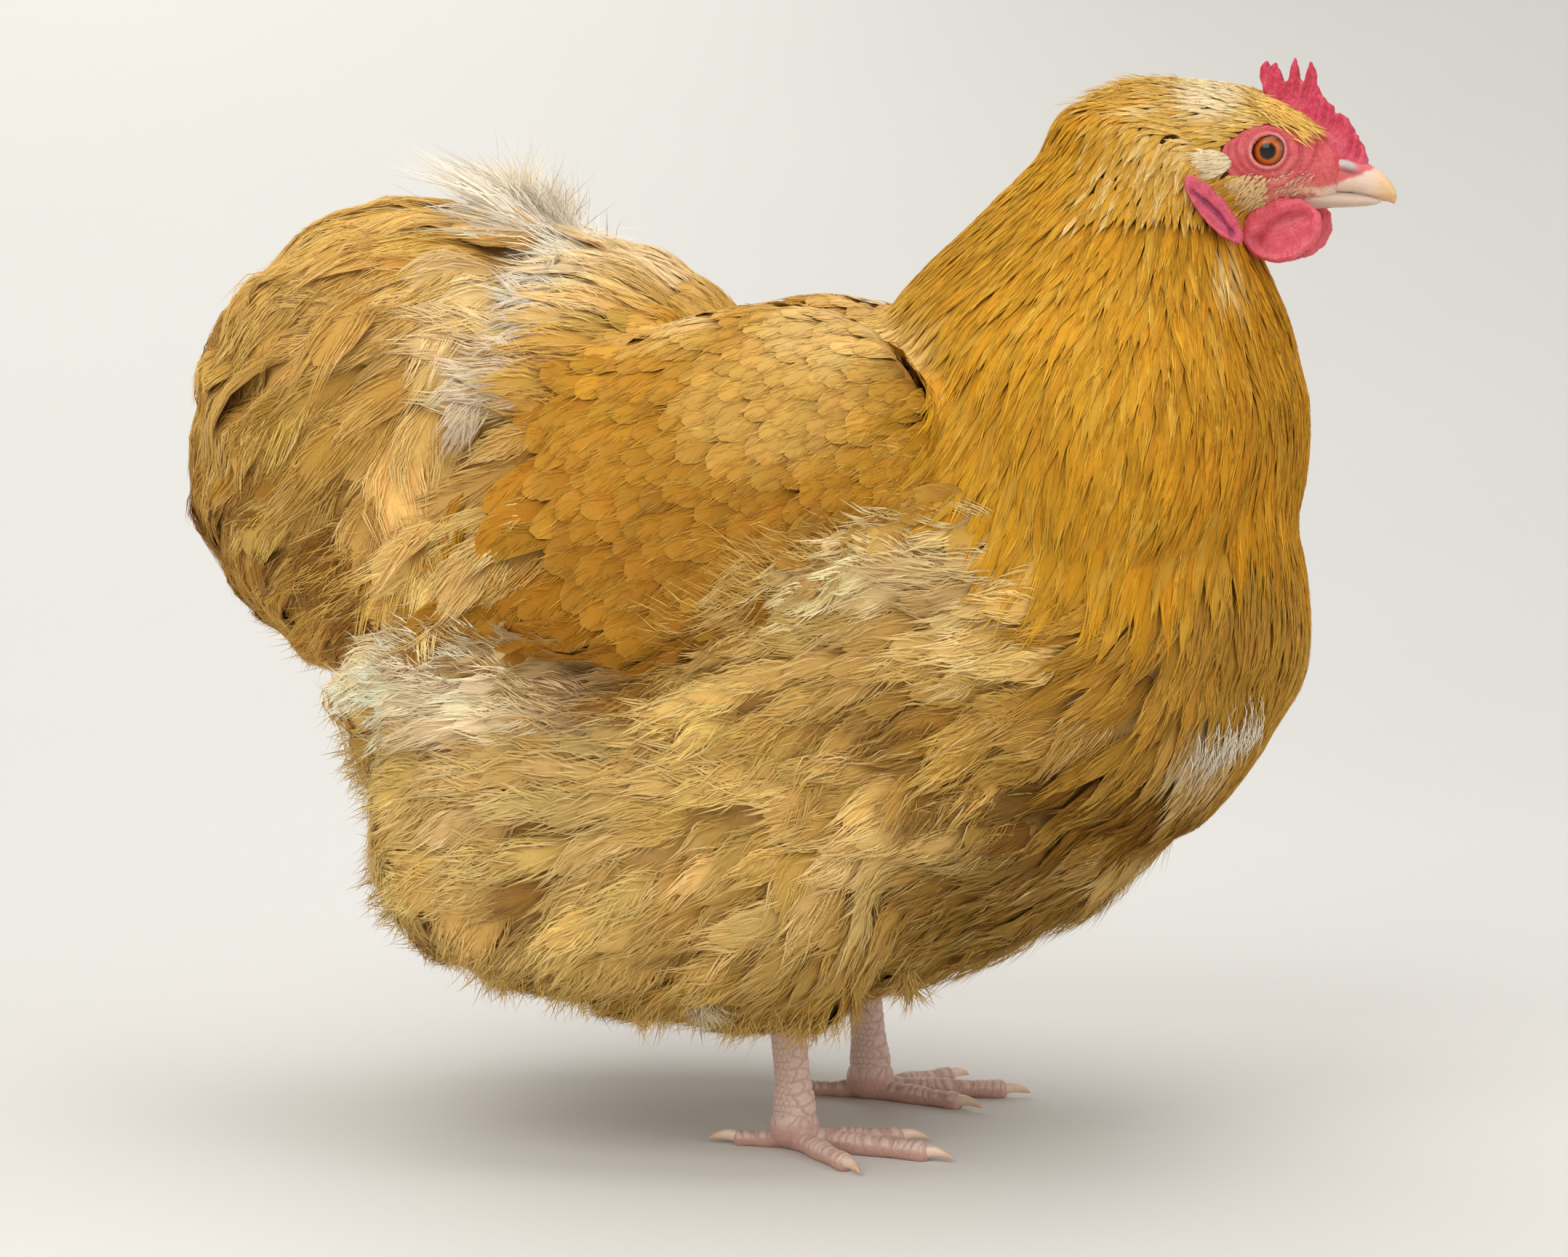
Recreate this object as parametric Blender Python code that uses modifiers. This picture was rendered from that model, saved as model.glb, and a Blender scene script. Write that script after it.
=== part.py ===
"""Buff fluffy-feathered hen, life size, standing with the head raised.

Metres, +Z up. The hen faces +X and its left side is +Y. The origin is on the floor, under the middle
of its box. Rows of sizes below are in millimetres, because that is how a hen is measured.
"""

import math
import random

import bmesh
import bpy
import numpy as np
from mathutils import Matrix, Vector
from mathutils.bvhtree import BVHTree

MM = 0.001
SIDES = (("right", -1), ("left", 1))
CLEAR = 0.0004  # the gap that touching pieces keep, with a little to spare
SEED = 7
BEYOND = 0.2  # farther out than any form reaches from its own middle
BACKWARD = -0.5  # a form whose line runs back this steeply is listed from front to rear
SLOPE_STEP = 0.02  # how far to both sides of a ring its slope is read, as a share of the form
POLE = 0.9999  # a ball's point this near to its pole is on no ring
SAME_POINT = 1e-6

# Each row of a body form: forward, height of its middle, reach up, reach down, half width.
# The neck's rings lie flat, so there the two reaches are back and front.
TORSO = [
    (188, 210, 0, 0, 0),
    (182, 209, 44, 44, 48),
    (160, 206, 78, 66, 75),
    (115, 195, 103, 97, 94),
    (60, 181, 117, 119, 102),
    (0, 170, 128, 126, 105),
    (-60, 165, 126, 116, 102),
    (-115, 154, 104, 86, 92),
    (-145, 142, 62, 52, 66),
    (-156, 138, 0, 0, 0),
]
TORSO_SQUARENESS = 2.35
NECK = [
    (122, 184, 0, 0, 0),
    (121, 195, 44, 42, 62),
    (119, 216, 70, 61, 87),
    (117, 242, 82, 69, 93),
    (115, 272, 82, 70, 83),
    (118, 298, 68, 63, 62),
    (122, 320, 49, 52, 45),
    (128, 343, 34, 37, 33),
    (133, 360, 30, 31, 27),
    (137, 372, 0, 0, 0),
]
THIGH = [
    (-141, 124, 0, 0, 0),
    (-134, 124, 50, 34, 34),
    (-104, 121, 74, 54, 51),
    (-58, 112, 80, 61, 56),
    (-10, 104, 80, 59, 55),
    (36, 100, 64, 49, 44),
    (60, 98, 0, 0, 0),
]
THIGH_OUT = 59
# The tips of the tail's feathers lie on the bustle. Its core is far inside, and the saddle's is just
# under its feathers.
BUSTLE_MIDDLE = (-129, 0, 249)
BUSTLE_REACH = (93, 84, 95)
TAIL_CORE_MIDDLE = (-122, 0, 254)
TAIL_CORE_REACH = (58, 64, 77)
SADDLE_MIDDLE = (-72, 0, 260)
SADDLE_REACH = (66, 84, 60)
WING_MIDDLE = (-16, 84, 240)
WING_REACH = (82, 20, 58)
WING_SLOPE_DEG = 28
WING_TOE_IN_DEG = 5
WING_LEAN_DEG = 22

# The head is modelled straight, forward of this pivot, and then turned towards the hen's right
HEAD_PIVOT = (140, 0, 0)
HEAD_TURN_DEG = 10
HEAD = [
    (-36, 348, 0, 0, 0),
    (-30, 349, 19, 20, 19),
    (-12, 354, 26, 28, 25),
    (8, 355, 24.5, 29, 24.5),
    (25, 354, 23, 25, 21.5),
    (39, 352, 18, 19, 17.5),
    (50, 349.5, 12.5, 13.5, 12.5),
    (59, 347.5, 7, 9, 8),
    (63, 347, 0, 0, 0),
]
BEAK_UPPER = [
    (44, 345.5, 0, 0, 0),
    (48, 345.5, 8, 3.8, 8.4),
    (57, 346.3, 7.6, 5, 7.2),
    (66, 346.2, 6.2, 5, 5.4),
    (73, 344, 4.4, 4.4, 3.4),
    (78, 340, 2.3, 3, 1.5),
    (79.4, 337, 0, 0, 0),
]
BEAK_LOWER = [
    (42, 339.6, 0, 0, 0),
    (46, 339.4, 3.4, 4.2, 7.2),
    (55, 339, 3, 3.4, 5.8),
    (65, 338.6, 2.4, 2.6, 3.9),
    (72, 338.2, 1.3, 1.5, 2),
    (75, 338, 0, 0, 0),
]
EYE_PLACE = (37.5, 12.2, 355.5)
EYE_RADIUS = 7.4
LID_RADIUS = 6.6
LID_THICKNESS = 1.5
LID_OUT = 16.8
NOSTRIL_PLACE = (63.6, 5.8, 349.8)
NOSTRIL_REACH = (2.6, 1.6, 1.1)
NOSTRIL_SLOPE_DEG = 20
# Comb outline from the front of its foot, over the points, to the back of its foot
COMB = [
    (69, 349), (69.7, 353.2), (68.3, 359.2), (65.9, 363.9), (63.2, 366.5), (61.1, 370),
    (58.4, 370.5), (55.6, 374.9), (52.2, 380.5), (49.3, 387.3), (46.8, 381.9), (44.6, 388.7),
    (42.1, 383.9), (39.9, 388.9), (37.9, 384.6), (34.8, 388), (32.8, 384.7), (34.5, 378),
    (38, 370), (46, 360), (58, 350),
]
COMB_HALF = 1.2
COMB_BEVEL = 0.9
WATTLE_PLACE = (41.5, 10.5, 328)
WATTLE_REACH = (14.4, 3, 11)
WATTLE_SLOPE_DEG = 8
WATTLE_CUP = 2.6
EARLOBE_PLACE = (18.7, 21.5, 335)
EARLOBE_REACH = (13.4, 3.2, 4.8)
EARLOBE_SLOPE_DEG = 52
EARLOBE_CUP = 1.6

SHANK = [
    (0, 8, 0, 0, 0),
    (0, 12, 7.36, 7.36, 6.4),
    (-1, 26, 6.4, 6.4, 5.76),
    (-3, 46, 6.4, 6.72, 6.08),
    (-5, 64, 8.32, 8.32, 7.68),
    (-6, 76, 0, 0, 0),
]
FOOT_BALL_MIDDLE = (0, 0, 7.5)
FOOT_BALL_REACH = (9, 8.5, 8.2)
FLOOR_CUTTER = 0.2
# Each foot: forward, aside, and how far its middle toe points to the left of straight ahead
FOOT = {"right": (10, -43, -16), "left": (27, 43, 8)}
TOES = [
    ("middle", 0, 50, 4.6),
    ("inner", 32, 38, 4.3),
    ("outer", -40, 40, 4.3),
    ("hind", 168, 21, 3.8),
]
TOE_SUNK = 0.7
TOE_END = 2
TOE_TAPER = 0.22
TOE_WAIST = 0.86
KNUCKLES = 2
CLAW = [
    (0, 3.3, 0, 0, 0),
    (0.6, 3.3, 2.1, 2.1, 1.89),
    (4.4, 3.6, 1.785, 1.785, 1.47),
    (8.8, 2.6, 1.05, 1.05, 0.84),
    (11, 1.5, 0, 0, 0),
]

# Half width of a feather from root to tip, at even steps, as a share of its widest
BROAD = (0.55, 0.95, 1.0, 0.86, 0.35)
LANCE = (0.6, 1.0, 0.9, 0.55, 0.1)
VANE_THICKNESS = 0.7
# Heights of a feather over what it lies on, and the shares of its length where it has them
LIFT_SHARES = (0, 0.25, 0.5, 1)
LYING = (-2.6, 1.5, 1.8, 3.3)
# A bustle feather's root sinks this far into the core, and the feather rises from there to the outline
# in these shares, and ends this far inside it
ROOT_SINK = 2.4
BUSTLE_RISE = (0.5, 0.2)
BUSTLE_TIP = -1
# Feathers side by side lie in turn in two layers, this far apart, and bent ones rise a little more to their tips
SHINGLE = 0.9
UNEVEN = 0.12
TIP_LAYER = 0.7
BUSTLE_LAYERS = (-1.5, 1)
# How far feathers stray from their even places: in length, across the wing, round the neck, and in
# degrees on the saddle, the bustle and the fan
LONGER_OR_SHORTER = 0.06
ACROSS_STRAY = 0.03
ROUND_STRAY = 0.12
SADDLE_STRAY_DEG = 3
BUSTLE_STRAY_DEG = 4
FAN_STRAY_DEG = 1.5
# How far a feather is bent clear of the forms beside its node, and how near it may then come between
# two bends
OVER_BARE = (2.4, 0.4)
OVER_FEATHERS = (5.4, 4.9)
NEAR = 12

# Wing feathers: how far along the wing each tier starts and the places across it, in shares of its reach,
# then length and width
WING_TIERS = [
    (0.66, (-0.36, 0.04, 0.4), 40, 23),
    (0.36, (-0.58, -0.2, 0.18, 0.54), 42, 25),
    (0.06, (-0.66, -0.27, 0.12, 0.5), 46, 26),
    (-0.22, (-0.58, -0.2, 0.18, 0.54), 48, 25),
    (-0.48, (-0.4, -0.04, 0.32), 48, 24),
]
WING_FLOW = (-0.86, 0, -0.5)
# Neck locks: height of their roots, how many round the neck, length and width
HACKLE_TIERS = [
    (338, 8, 38, 15),
    (316, 9, 42, 18),
    (292, 10, 44, 21),
    (266, 11, 46, 23),
]
HACKLE_AXIS = 116
HACKLE_SPREAD = 0.35
# Saddle and bustle feathers: place of the roots round and along the bustle in degrees, length and width
TAIL_FLOW = (-0.78, 0, -0.62)
SADDLE_TIERS = [
    (-26, (0, 30, 60), 50, 30),
    (-54, (15, 45, 72), 52, 31),
]
BUSTLE_TIERS = [
    (116, (0, 32, 62), 64, 34),
    (88, (16, 48, 76), 66, 36),
    (60, (0, 33, 64), 62, 36),
    (32, (16, 49, 77), 56, 35),
    (2, (0, 33, 64), 50, 34),
    (-22, (20, 58), 42, 31),
]
# The long tail feathers fan out from here in two leaves: angle up from straight back, and reach.
# Every other root stands this much farther out.
FAN_ROOT = (-112, 7, 252)
FAN_STAGGER = 1.2
FAN = [(55, 120), (43, 123), (30, 118), (16, 111), (2, 103), (-12, 99), (-27, 99)]
FAN_WIDTH = 36
FAN_SPREAD_DEG = (4, 16)
FAN_DROOP = 0.06
FAN_FACES_UP = 0.2
EAR_TUFT = [(22, 17.5, 355), (20, 20, 350)]
EAR_TUFT_LENGTH = 15
EAR_TUFT_WIDTH = 7

MATERIALS = {
    "buff_feather": ((0.62, 0.38, 0.10, 1), 0.8),
    "pale_fluff": ((0.74, 0.52, 0.24, 1), 0.9),
    "gold_hackle": ((0.58, 0.32, 0.05, 1), 0.6),
    "red_skin": ((0.62, 0.09, 0.09, 1), 0.55),
    "horn": ((0.78, 0.60, 0.46, 1), 0.4),
    "eye": ((0.30, 0.09, 0.02, 1), 0.1),
    "leg_skin": ((0.72, 0.52, 0.46, 1), 0.6),
}


def clear_scene():
    for obj in list(bpy.data.objects):
        bpy.data.objects.remove(obj)


def new_object(name, mesh):
    obj = bpy.data.objects.new(name, mesh)
    bpy.context.scene.collection.objects.link(obj)
    return obj


def through(rows, t):
    """The row at t, from 0 to 1, on a smooth curve through all the rows."""
    rows = np.asarray(rows, float)
    place = min(max(t, 0.0), 1.0) * (len(rows) - 1)
    i = min(int(place), len(rows) - 2)
    s = place - i
    p1, p2 = rows[i], rows[i + 1]
    p0 = rows[i - 1] if i else p1
    p3 = rows[i + 2] if i + 2 < len(rows) else p2
    out_slope, in_slope = (p2 - p0) / 2, (p3 - p1) / 2
    return (
        (2 * s**3 - 3 * s**2 + 1) * p1
        + (s**3 - 2 * s**2 + s) * out_slope
        + (3 * s**2 - 2 * s**3) * p2
        + (s**3 - s**2) * in_slope
    )


def unit_ball(around, along):
    mesh = bpy.data.meshes.new("ball")
    bm = bmesh.new()
    bmesh.ops.create_uvsphere(bm, u_segments=around, v_segments=along, radius=1)
    bm.to_mesh(mesh)
    bm.free()
    return mesh


def face_out(mesh):
    """Splits the mesh into triangles that face out, so that a swollen copy bends along the same edges."""
    bm = bmesh.new()
    bm.from_mesh(mesh)
    bmesh.ops.triangulate(bm, faces=bm.faces)
    bmesh.ops.recalc_face_normals(bm, faces=bm.faces)
    bm.to_mesh(mesh)
    bm.free()


def squared(value, squareness):
    return math.copysign(abs(value) ** (2 / squareness), value)


def rounded_form(name, rows, around=20, along=14, sideways=0.0, squareness=2.0):
    """A closed form whose rings follow the rows, square to the line through their middles."""
    mesh = unit_ball(around, along)
    for vertex in mesh.vertices:
        t = math.acos(max(-1.0, min(1.0, vertex.co.z))) / math.pi
        turn = math.atan2(vertex.co.y, vertex.co.x)
        forward, height, up, down, half = through(rows, t)
        ahead = through(rows, t + SLOPE_STEP)[:2] - through(rows, t - SLOPE_STEP)[:2]
        ahead /= np.linalg.norm(ahead)
        on_ring = abs(vertex.co.z) < POLE
        rise = on_ring * squared(math.sin(turn), squareness) * (up if math.sin(turn) > 0 else down)
        out = on_ring * squared(math.cos(turn), squareness) * half
        lift = np.array((-ahead[1], ahead[0]))
        if ahead[0] < BACKWARD:
            lift = -lift
        vertex.co = (
            (forward + lift[0] * rise) * MM,
            (sideways + out) * MM,
            (height + lift[1] * rise) * MM,
        )
    face_out(mesh)
    return new_object(name, mesh)


def ellipsoid(name, middle, reach, around=20, along=12, turn=Matrix.Identity(4)):
    mesh = unit_ball(around, along)
    sized = turn @ Matrix.Diagonal([*(Vector(reach) * MM), 1])
    mesh.transform(Matrix.Translation(Vector(middle) * MM) @ sized)
    face_out(mesh)
    return new_object(name, mesh)


def applied(obj):
    """Replaces the object's mesh with what its modifiers make of it."""
    bpy.context.view_layer.update()
    graph = bpy.context.evaluated_depsgraph_get()
    made = bpy.data.meshes.new_from_object(obj.evaluated_get(graph))
    obj.modifiers.clear()
    obj.data = made
    return obj


def swollen(obj, by=CLEAR):
    """A copy of the object, larger by the gap that neighbours keep."""
    copy = new_object(obj.name + "_room", obj.data.copy())
    displace = copy.modifiers.new("room", "DISPLACE")
    displace.mid_level = 0
    displace.strength = by
    return applied(copy)


def keep_largest(obj):
    """Drops every closed surface of the mesh but the largest."""
    bm = bmesh.new()
    bm.from_mesh(obj.data)
    left = set(bm.verts)
    best, best_volume = set(), 0.0
    while left:
        seed = left.pop()
        found, front = {seed}, [seed]
        while front:
            for edge in front.pop().link_edges:
                for vertex in edge.verts:
                    if vertex not in found:
                        found.add(vertex)
                        front.append(vertex)
        left -= found
        low = [min(v.co[i] for v in found) for i in range(3)]
        high = [max(v.co[i] for v in found) for i in range(3)]
        volume = math.prod(h - lo for lo, h in zip(low, high))
        if volume > best_volume:
            best, best_volume = found, volume
    bmesh.ops.delete(bm, geom=[v for v in bm.verts if v not in best], context="VERTS")
    bm.to_mesh(obj.data)
    bm.free()
    return obj


def combine(obj, others, operation, solver="EXACT"):
    """Cuts the others from the object or joins them to it, and removes them."""
    group = bpy.data.collections.new(obj.name + "_tools")
    for other in others:
        group.objects.link(other)
    boolean = obj.modifiers.new("combine", "BOOLEAN")
    boolean.operation = operation
    boolean.operand_type = "COLLECTION"
    boolean.collection = group
    boolean.solver = solver
    applied(obj)
    for other in others:
        bpy.data.objects.remove(other)
    bpy.data.collections.remove(group)
    return keep_largest(obj)


def make_room(obj, neighbours):
    """Cuts the object clear of neighbours that stay whole."""
    return combine(obj, [swollen(n) for n in neighbours], "DIFFERENCE", "MANIFOLD")


def paint(obj, key):
    colour, roughness = MATERIALS[key]
    material = bpy.data.materials.get(key)
    if material is None:
        material = bpy.data.materials.new(key)
        material.use_nodes = True
        shader = material.node_tree.nodes["Principled BSDF"]
        shader.inputs["Base Color"].default_value = colour
        shader.inputs["Roughness"].default_value = roughness
    obj.data.materials.clear()
    obj.data.materials.append(material)


def tilt_about_x(degrees):
    return Matrix.Rotation(math.radians(degrees), 4, "X")


def tilt_about_y(degrees):
    return Matrix.Rotation(math.radians(degrees), 4, "Y")


def tilt_about_z(degrees):
    return Matrix.Rotation(math.radians(degrees), 4, "Z")


def head_turn():
    return Matrix.Translation(Vector(HEAD_PIVOT) * MM) @ tilt_about_z(-HEAD_TURN_DEG)


def wing_lean(side):
    turn = tilt_about_z(side * WING_TOE_IN_DEG) @ tilt_about_x(side * WING_LEAN_DEG)
    return turn @ tilt_about_y(-WING_SLOPE_DEG)


def make_comb():
    curve = bpy.data.curves.new("comb_outline", "CURVE")
    curve.dimensions = "2D"
    curve.fill_mode = "BOTH"
    curve.extrude = COMB_HALF * MM
    curve.bevel_depth = COMB_BEVEL * MM
    curve.bevel_resolution = 0
    line = curve.splines.new("POLY")
    line.points.add(len(COMB) - 1)
    for point, (forward, height) in zip(line.points, COMB):
        point.co = (forward * MM, height * MM, 0, 1)
    line.use_cyclic_u = True
    flat = new_object("comb_flat", curve)
    graph = bpy.context.evaluated_depsgraph_get()
    mesh = bpy.data.meshes.new_from_object(flat.evaluated_get(graph))
    bpy.data.objects.remove(flat)
    bm = bmesh.new()
    bm.from_mesh(mesh)
    bmesh.ops.remove_doubles(bm, verts=bm.verts, dist=SAME_POINT)
    bm.to_mesh(mesh)
    bm.free()
    face_out(mesh)
    mesh.transform(tilt_about_x(90))
    return new_object("comb", mesh)


def cupped_lobe(name, place, reach, cup, slope_deg, side, around=10, along=7):
    """A fleshy lobe, hollowed on its outer face."""
    mesh = unit_ball(around, along)
    for vertex in mesh.vertices:
        radial = vertex.co.x**2 + vertex.co.z**2
        y = vertex.co.y * reach[1] - cup * (1 - radial)
        vertex.co = (vertex.co.x * reach[0], y, vertex.co.z * reach[2])
    mesh.transform(tilt_about_y(slope_deg))
    mesh.transform(Matrix.Translation(Vector(place)))
    mesh.transform(Matrix.Diagonal([MM, side * MM, MM, 1]))
    face_out(mesh)
    return new_object(name, mesh)


def make_eye_ring(side):
    bpy.ops.mesh.primitive_torus_add(
        major_radius=LID_RADIUS * MM,
        minor_radius=LID_THICKNESS * MM,
        major_segments=12,
        minor_segments=4,
        rotation=(math.radians(90), 0, 0),
        location=Vector((EYE_PLACE[0], side * LID_OUT, EYE_PLACE[2])) * MM,
    )
    ring = bpy.context.active_object
    bpy.context.view_layer.update()
    ring.data.transform(ring.matrix_world)
    ring.matrix_world = Matrix.Identity(4)
    return ring


def make_head_group():
    """Head, beak, comb, wattles, ear lobes and eyes, still facing straight ahead."""
    head = rounded_form("head", HEAD, 14, 10)
    upper = rounded_form("beak_upper", BEAK_UPPER, 10, 9)
    lower = rounded_form("beak_lower", BEAK_LOWER, 8, 7)
    comb = make_comb()
    eyes, wattles, lobes = [], [], []
    for word, side in SIDES:
        place = (EYE_PLACE[0], side * EYE_PLACE[1], EYE_PLACE[2])
        eyes.append(ellipsoid("eye_" + word, place, (EYE_RADIUS,) * 3, 10, 7))
        wattles.append(
            cupped_lobe("wattle_" + word, WATTLE_PLACE, WATTLE_REACH, WATTLE_CUP, WATTLE_SLOPE_DEG, side)
        )
        lobes.append(
            cupped_lobe("earlobe_" + word, EARLOBE_PLACE, EARLOBE_REACH, EARLOBE_CUP, EARLOBE_SLOPE_DEG, side)
        )
        nostril = (NOSTRIL_PLACE[0], side * NOSTRIL_PLACE[1], NOSTRIL_PLACE[2])
        pit = ellipsoid("pit", nostril, NOSTRIL_REACH, 8, 6, tilt_about_y(NOSTRIL_SLOPE_DEG))
        combine(upper, [pit], "DIFFERENCE")
    combine(head, [make_eye_ring(-1), make_eye_ring(1)], "UNION")
    make_room(head, [upper, *eyes])
    make_room(lower, [upper])
    make_room(head, [lower])
    make_room(comb, [head, upper])
    for lobe in wattles:
        make_room(lobe, [head, lower])
    for lobe in lobes:
        make_room(lobe, [head])
    return head, [upper, lower, comb, *eyes, *wattles, *lobes]


def toe_rows(length, radius):
    """A toe from its root to its claw, thick at its knuckles and thin between them."""
    rows = [(-TOE_END, radius - TOE_SUNK, 0, 0, 0)]
    steps = 2 * KNUCKLES
    for i in range(steps + 1):
        thick = radius * (1 - TOE_TAPER * i / steps)
        around = thick * (TOE_WAIST if i % 2 else 1)
        rows.append((length * i / steps, thick - TOE_SUNK, around, around, around))
    rows.append((length + TOE_END, rows[-1][1], 0, 0, 0))
    return rows


def make_leg(word, flesh):
    """Shank, foot and claws, with room for the shank cut from the flesh it comes out of."""
    forward, aside, yaw = FOOT[word]
    stand = Matrix.Translation(Vector((forward, aside, 0)) * MM)
    side = 1 if word == "left" else -1
    shank = rounded_form("shank_" + word, SHANK, 10, 7)
    shank.data.transform(stand)
    foot = ellipsoid("foot_" + word, FOOT_BALL_MIDDLE, FOOT_BALL_REACH, 10, 6)
    toes, claws = [], []
    for toe, angle, length, radius in TOES:
        heading = tilt_about_z(yaw + side * angle * (1 if toe == "hind" else -1))
        piece = rounded_form("toe", toe_rows(length, radius), 6, 8)
        piece.data.transform(heading)
        toes.append(piece)
        claw = rounded_form(f"claw_{word}_{toe}", CLAW, 6, 4)
        claw.data.transform(stand @ heading @ Matrix.Translation((length * MM, 0, 0)))
        claws.append(claw)
    combine(foot, toes, "UNION")
    bpy.ops.mesh.primitive_cube_add(size=FLOOR_CUTTER, location=(0, 0, -FLOOR_CUTTER / 2))
    floor = bpy.context.active_object
    combine(foot, [floor], "DIFFERENCE")
    foot.data.transform(stand)
    make_room(shank, [foot])
    for claw in claws:
        make_room(claw, [foot])
    for form in flesh:
        make_room(form, [shank])
    return shank, foot, claws


def make_body_forms():
    """Every form of the body, whole and still overlapping its neighbours."""
    forms = {
        "torso": rounded_form("torso", TORSO, 16, 12, squareness=TORSO_SQUARENESS),
        "neck": rounded_form("neck", NECK, 16, 12),
        "tail": ellipsoid("tail", TAIL_CORE_MIDDLE, TAIL_CORE_REACH, 12, 8),
        "saddle": ellipsoid("saddle", SADDLE_MIDDLE, SADDLE_REACH, 14, 10),
    }
    for word, side in SIDES:
        forms["thigh_" + word] = rounded_form("thigh_" + word, THIGH, 14, 9, side * THIGH_OUT)
        middle = (WING_MIDDLE[0], side * WING_MIDDLE[1], WING_MIDDLE[2])
        forms["wing_" + word] = ellipsoid("wing_" + word, middle, WING_REACH, 14, 8, wing_lean(side))
    return forms


def surface_of(obj):
    bm = bmesh.new()
    bm.from_mesh(obj.data)
    tree = BVHTree.FromBMesh(bm)
    bm.free()
    return tree


def height_over(surface, point):
    """How far the point is outside the form, below zero inside it, with the nearest place and its normal."""
    place, normal, _, distance = surface.find_nearest(point)
    outside = (point - place).dot(normal) >= 0
    return (distance if outside else -distance), place, normal


def kept_clear(point, neighbours, layer):
    """The point, moved out to the room that each neighbouring form needs, and by its own layer besides."""
    for surface, room, _ in neighbours:
        height, place, normal = height_over(surface, point)
        if height < (room + layer) * MM:
            point = place + normal * (room + layer) * MM
    return point


def inside_any(point, neighbours):
    return any(height_over(surface, point)[0] < room * MM for surface, room, _ in neighbours)


def beside(form, room):
    """What a feather needs to know of a form beside its node: its surface, the room to keep, and a cutter."""
    bend, cut = room
    cutter = swollen(form, cut * MM)
    cutter.hide_render = True
    return surface_of(form), bend, cutter


def trimmed(vane, neighbours):
    """The feather without what would still reach into the forms beside it, or nothing if none of it is left."""
    for surface, _, cutter in neighbours:
        if min(height_over(surface, vertex.co)[0] for vertex in vane.data.vertices) > NEAR * MM:
            continue
        tool = new_object("cutter", cutter.data.copy())
        combine(vane, [tool], "DIFFERENCE", "MANIFOLD")
        if not vane.data.vertices:
            bpy.data.objects.remove(vane)
            return None
    return vane


def blade(line, ups, width, shape, settle):
    """A thin tapered sheet along the line, with its width square to the line and to the ups."""
    last = len(line) - 1
    mesh = bpy.data.meshes.new("vane")
    bm = bmesh.new()
    bmesh.ops.create_grid(bm, x_segments=1, y_segments=last, size=1)
    for vertex in bm.verts:
        i = round((vertex.co.y + 1) / 2 * last)
        ahead = line[min(i + 1, last)] - line[max(i - 1, 0)]
        aside = ups[i].cross(ahead).normalized()
        vertex.co = settle(line[i] + aside * vertex.co.x * shape[i] * width / 2 * MM, i / last)
    bmesh.ops.triangulate(bm, faces=bm.faces)
    bm.to_mesh(mesh)
    bm.free()
    vane = new_object("vane", mesh)
    thicken = vane.modifiers.new("thickness", "SOLIDIFY")
    thicken.thickness = VANE_THICKNESS * MM
    thicken.offset = 0
    applied(vane)
    face_out(vane.data)
    return vane


def lying_vane(form, root, flow, length, width, shape, lifts, neighbours, shingle=0.0):
    """A feather that follows the form's surface, or nothing if its root would be inside a neighbour."""
    steps = len(shape) - 1
    height, place, normal = height_over(form, Vector(root))
    if inside_any(place + normal * lifts[0] * MM, neighbours):
        return None
    line, ups = [place], [normal]
    for _ in range(steps):
        heading = Vector(flow(place))
        heading -= normal * heading.dot(normal)
        _, place, normal = height_over(form, place + heading.normalized() * length / steps * MM)
        line.append(place)
        ups.append(normal)

    def settle(point, share):
        _, place, normal = height_over(form, point)
        lift = np.interp(share, LIFT_SHARES, lifts) + shingle
        layer = max(0, shingle) + TIP_LAYER * share
        return kept_clear(place + normal * lift * MM, neighbours, layer)

    return trimmed(blade(line, ups, width, shape, settle), neighbours)


def add_vanes(obj, vanes):
    return combine(obj, [vane for vane in vanes if vane], "UNION", "MANIFOLD")


def uneven(length, chance):
    return length * chance.uniform(1 - LONGER_OR_SHORTER, 1 + LONGER_OR_SHORTER)


def wing_vanes(form, side, neighbours, chance):
    lean = wing_lean(side)
    middle = Vector((WING_MIDDLE[0], side * WING_MIDDLE[1], WING_MIDDLE[2])) * MM
    vanes = []
    for along, acrosses, length, width in WING_TIERS:
        for i, across in enumerate(acrosses):
            across += chance.uniform(-ACROSS_STRAY, ACROSS_STRAY)
            root = Vector((along * WING_REACH[0], side * WING_REACH[1], across * WING_REACH[2]))
            root = middle + lean @ root * MM
            long = uneven(length, chance)
            shingle = SHINGLE * (i % 2) + chance.uniform(0, UNEVEN)
            vanes.append(
                lying_vane(form, root, lambda _: WING_FLOW, long, width, BROAD, LYING, neighbours, shingle)
            )
    return vanes


def hackle_flow(place):
    """Down the neck, spreading away from its middle line."""
    out = Vector((place.x - HACKLE_AXIS * MM, place.y, 0)).normalized()
    return out * HACKLE_SPREAD + Vector((0, 0, -1))


def hackle_vanes(form, neighbours, chance):
    vanes = []
    for tier, (height, count, length, width) in enumerate(HACKLE_TIERS):
        for i in range(count):
            stray = chance.uniform(-ROUND_STRAY, ROUND_STRAY)
            angle = math.tau * (i + 0.5 * (tier % 2) + stray) / count
            axis = Vector((HACKLE_AXIS, 0, height)) * MM
            out = Vector((math.cos(angle), math.sin(angle), 0))
            root, _, _, _ = form.ray_cast(axis + out * BEYOND, -out)
            long = uneven(length, chance)
            shingle = SHINGLE * (i % 2) + chance.uniform(0, UNEVEN)
            vanes.append(
                lying_vane(form, root, hackle_flow, long, width, LANCE, LYING, neighbours, shingle)
            )
    return vanes


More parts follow.
